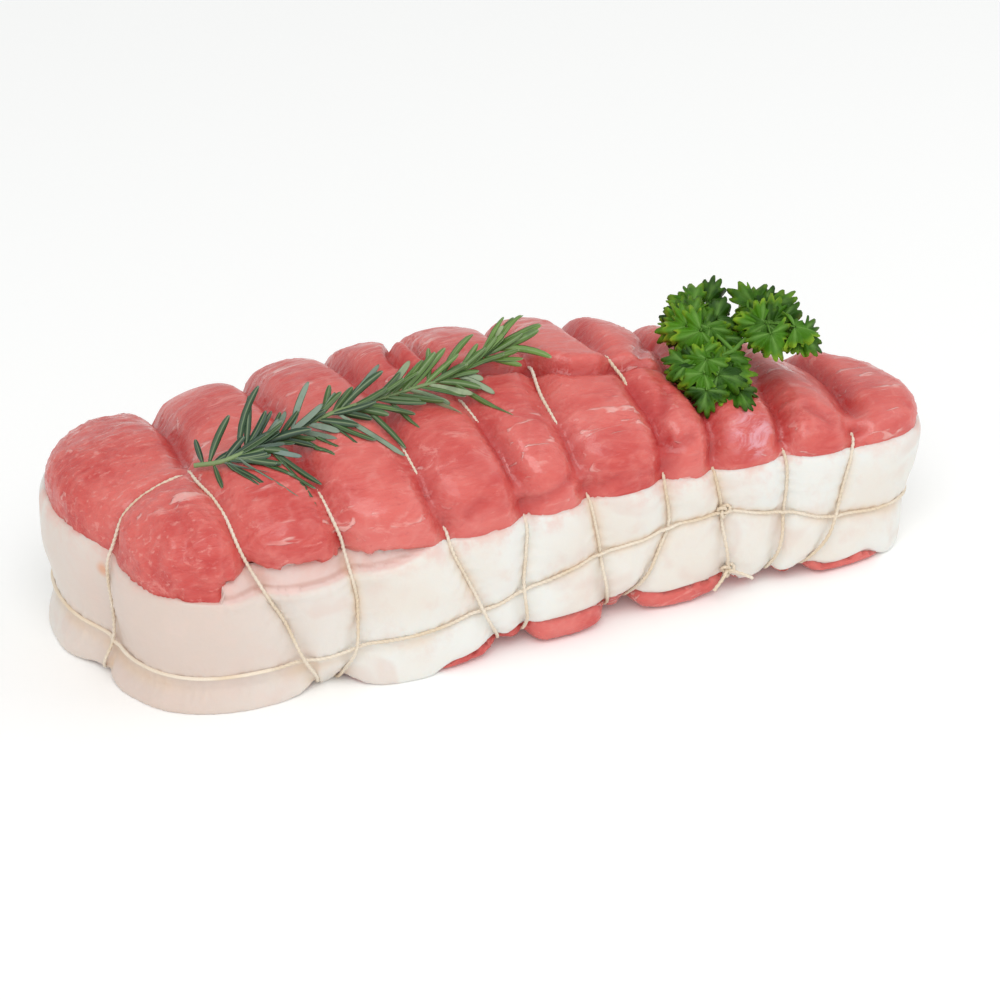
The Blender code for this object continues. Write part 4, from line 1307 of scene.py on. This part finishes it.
def rosemaryLook():
    look = Look("rosemary_leaf", {"Specular IOR Level": 0.5, "Coat Weight": 0.15,
                                  "Coat Roughness": 0.3})
    tint = look.painted("tint")
    under = look.painted("under")
    across = look.painted("across")
    broad = look.grain(220.0, 3.0, 0.6)
    fine = look.grain(1800.0, 3.0, 0.6)
    upper = look.layered(rgb(24, 58, 34), [
        (tint, (104, 142, 56)),
        ((1.0 - look.step(across, 0.04, 0.22)) * 0.45, (150, 172, 120)),
        (look.step(across, 0.86, 1.0) * 0.5, (150, 168, 120))])
    lower = look.layered(rgb(112, 134, 122), [
        (tint, (160, 176, 128)),
        (look.step(across, 0.72, 0.9) * 0.8, (46, 80, 42))])
    colour = look.mixed(look.step(under, 0.3, 0.7), upper, lower)
    shade = look.step(broad, 0.5, 0.75) * 0.35
    look.put("Base Color", look.layered(colour, [(shade, (40, 70, 38))]))
    look.put("Roughness", 0.34 + 0.25 * broad)
    look.relief(fine, 0.0001, 0.5)
    return look


sprig = makeRosemary()
dress(sprig, rosemaryLook(), "rosemary_sprig")
print("rosemary:", len(sprig.data.polygons), "faces")


# Parsley: one toothed leaflet is modelled, then copied round the three divisions of a leaf.

parsley = {
    "root": (74.6, -22.6, 72.9),
    # each division's middle, then its leaflets: millimetres right of and above the root
    "divisions": [
        {"node": (-9, 8), "leaflets": [
            (-5.5, 20.5), (-3.7, 15), (-10.5, 19.5), (-14.5, 15), (-18, 11), (-20, 6.5),
            (-11, 11.5), (-4.5, 8), (1.5, 4.5), (-15, 4), (-8, 3)]},
        {"node": (11, 9), "leaflets": [
            (4.6, 18.5), (11.7, 18.5), (16.5, 16), (8, 13), (17.5, 9), (24, 7), (20, 2.6),
            (25, 2), (13.5, 0.8), (7, 6)]},
        {"node": (-8, -5), "leaflets": [
            (-18, -1.5), (-17.5, -6), (-11, -2), (-13.5, -10), (-8, -13.5), (-9.5, -16.5),
            (-3, -14.5), (3.5, -15.5), (0.5, -8.5), (1.5, -2)]}],
    "size": (8.0, 10.4),
    "inner": 10,
    "thickness": 0.26 * mm,
    "ruffle": 0.2,
    "seed": 12,
}


def makeLeaflet():
    # A fan of three deep lobes with rounded teeth, one unit from stalk to tip, along +Y.
    bpy.ops.object.select_all(action="DESELECT")
    bpy.ops.mesh.primitive_grid_add(x_subdivisions=60, y_subdivisions=5, size=2.0)
    leaf = bpy.context.view_layer.objects.active
    rims, veins = [], []
    fan, lobeTurn, toothTurn = math.radians(118.0), 1.86, 17.0
    for vert in leaf.data.vertices:
        turn = vert.co.x * fan                     # from one side of the fan to the other
        r = (vert.co.y + 1.0) / 2.0                # from stalk to rim
        lobe = abs(math.cos(turn * lobeTurn))
        lobes = 0.5 + 0.5 * lobe ** 0.6
        teeth = 1.0 - 0.26 * (0.5 - 0.5 * math.cos(turn * toothTurn + math.pi)) ** 1.7
        rim = lobes * blendOf(1.0, teeth, r ** 2) * (1.0 - 0.16 * abs(vert.co.x))
        reach = 0.05 + 0.95 * r * rim
        wave = parsley["ruffle"] * r * r * math.sin(turn * 5.6)
        wave += 0.06 * r * math.sin(turn * 15.0 + 1.0) - 0.26 * r ** 3
        vert.co = Vector((math.sin(turn) * reach, math.cos(turn) * reach, wave))
        rims.append(r)
        veins.append(lobe ** 18)
    paint(leaf, "rim", rims)
    paint(leaf, "vein", veins)
    return leaf


def placedLeaflet(leaf, base, heading, face, size, tint):
    copy = linked(leaf.name, leaf.data.copy())
    side = heading.cross(face).normalized()
    face = side.cross(heading).normalized()
    for vert in copy.data.vertices:
        x, y, z = vert.co * size
        vert.co = base + side * x + heading * y + face * z
    paintAll(copy, tint=tint)
    applyModifier(copy, "SOLIDIFY", {"thickness": parsley["thickness"], "offset": 0.0})
    return copy


def stalkMesh(a, b, radius, sag):
    middle = a.lerp(b, 0.5) + Vector((0.0, 0.0, sag * mm))
    stem = stemMesh("stalk", smoothLine([a, middle, b], False, 4), radius * mm, 0.6)
    paintAll(stem, tint=0.7, rim=0.3, vein=0.8)
    return stem


def parsleyStep(right, up):
    # As arranged(), but laid further back over the crown.
    lean = 0.94 if up > 0 else 0.45
    return (pictureRight * right + pictureUp * up + pictureAway * (up * lean)) * mm


def makeParsley():
    rng = random.Random(parsley["seed"])
    root = Vector(parsley["root"]) * mm
    leaf = makeLeaflet()
    ground = Vector((root.x + 0.007, root.y + 0.006, 0.0))
    ground.z = surface.height(ground.x, ground.y) + 0.0006
    pieces = [stalkMesh(root, ground, 0.8, 1.0)]
    for division in parsley["divisions"]:
        nodeRight, nodeUp = division["node"]
        node = root + parsleyStep(nodeRight, nodeUp)
        pieces.append(stalkMesh(root, node, 0.7, 0.8))
        inner = [(nodeRight + rng.uniform(-10, 10), nodeUp + rng.uniform(-7, 7))
                 for _ in range(parsley["inner"])]
        for right, up in division["leaflets"] + inner:
            centre = root + parsleyStep(right, up) - pictureAway * rng.uniform(-2.0, 3.0) * mm
            turn = math.atan2(up - nodeUp, right - nodeRight) + rng.uniform(-0.45, 0.45)
            heading = arranged(math.cos(turn), math.sin(turn)).normalized()
            heading = (heading - pictureAway * rng.uniform(-0.35, 0.45)).normalized()
            face = -pictureAway + Vector((0.0, 0.0, 0.5))
            face = (face + Vector([rng.uniform(-0.5, 0.5) for _ in range(3)])).normalized()
            size = rng.uniform(*parsley["size"]) * mm
            base = centre - heading * size * 0.55
            piece = placedLeaflet(leaf, base, heading, face, size, rng.uniform(0.0, 1.0))
            settle(piece, 0.4 * mm)
            pieces.append(piece)
            pieces.append(stalkMesh(node, base, 0.45, 0.3))
    bunch = joined(pieces, "parsley_leaves")
    discard(leaf)
    return bunch


def parsleyLook():
    look = Look("parsley_leaf", {"Specular IOR Level": 0.22, "Subsurface Weight": 0.06,
                                 "Subsurface Radius": (0.4, 1.0, 0.2), "Subsurface Scale": 0.001})
    tint = look.painted("tint")
    rim = look.painted("rim")
    vein = look.painted("vein")
    broad = look.grain(160.0, 3.0, 0.6)
    fine = look.grain(1500.0, 3.0, 0.6)
    tips = look.step(rim, 0.66, 1.0) * look.step(broad, 0.35, 0.6)
    look.put("Base Color", look.layered(rgb(22, 58, 3), [
        (tint, (72, 126, 10)),
        (look.step(broad, 0.45, 0.7) * 0.4, (92, 150, 30)),
        (tips * tint * 0.9, (154, 188, 48)),
        ((1.0 - look.step(rim, 0.05, 0.45)) * 0.4, (92, 136, 56)),
        (vein * (1.0 - look.step(rim, 0.5, 0.95)) * 0.5, (122, 166, 80))]))
    look.put("Roughness", 0.42 + 0.22 * broad)
    look.relief(fine + vein * 0.6, 0.00014, 0.5)
    return look


bunch = makeParsley()
dress(bunch, parsleyLook(), "parsley_sprig")
print("parsley:", len(bunch.data.polygons), "faces")


# Floor, light and camera.

stageLight = {
    "floorSize": 6.0,
    "sky": 0.66,
    "floorGlow": 0.075,
    "key": {"place": (-0.5, -1.0, 1.5), "size": 1.2, "power": 13.0},
    "fill": {"place": (1.1, -0.5, 0.9), "size": 1.2, "power": 3.0},
}


def makeFloor():
    bpy.ops.object.select_all(action="DESELECT")
    bpy.ops.mesh.primitive_plane_add(size=stageLight["floorSize"], location=(0.0, 0.0, 0.0))
    floor = bpy.context.view_layer.objects.active
    floor.name = "floor"
    look = Look("pale_floor", {"Roughness": 0.7, "Base Color": rgb(252, 253, 252),
                               "Emission Color": (1.0, 1.0, 1.0, 1.0),
                               "Emission Strength": stageLight["floorGlow"]})
    floor.data.materials.append(look.mat)


def makeLights():
    world = bpy.data.worlds.new("studio")
    world.use_nodes = True
    sky = world.node_tree.nodes["Background"]
    sky.inputs["Color"].default_value = (1.0, 1.0, 1.0, 1.0)
    sky.inputs["Strength"].default_value = stageLight["sky"]
    bpy.context.scene.world = world
    aim = Vector((0.0, 0.0, 0.03))
    for name in ("key", "fill"):
        lamp = stageLight[name]
        data = bpy.data.lights.new(name, "AREA")
        data.size = lamp["size"]
        data.energy = lamp["power"]
        obj = linked(name, data)
        obj.location = lamp["place"]
        obj.rotation_euler = (aim - obj.location).to_track_quat("-Z", "Y").to_euler()


def makeCamera():
    data = bpy.data.cameras.new("photo_view")
    data.lens = photoView["lens"]
    data.sensor_width = 36.0
    data.shift_x, data.shift_y = photoView["shift"]
    camera = linked("photo_view", data)
    camera.location = Vector(photoView["aim"]) * mm - pictureAway * photoView["distance"]
    camera.rotation_euler = pictureAway.to_track_quat("-Z", "Y").to_euler()
    bpy.context.scene.camera = camera


makeFloor()
makeLights()
makeCamera()
bpy.context.scene.view_settings.view_transform = "Standard"
print("stage ready")
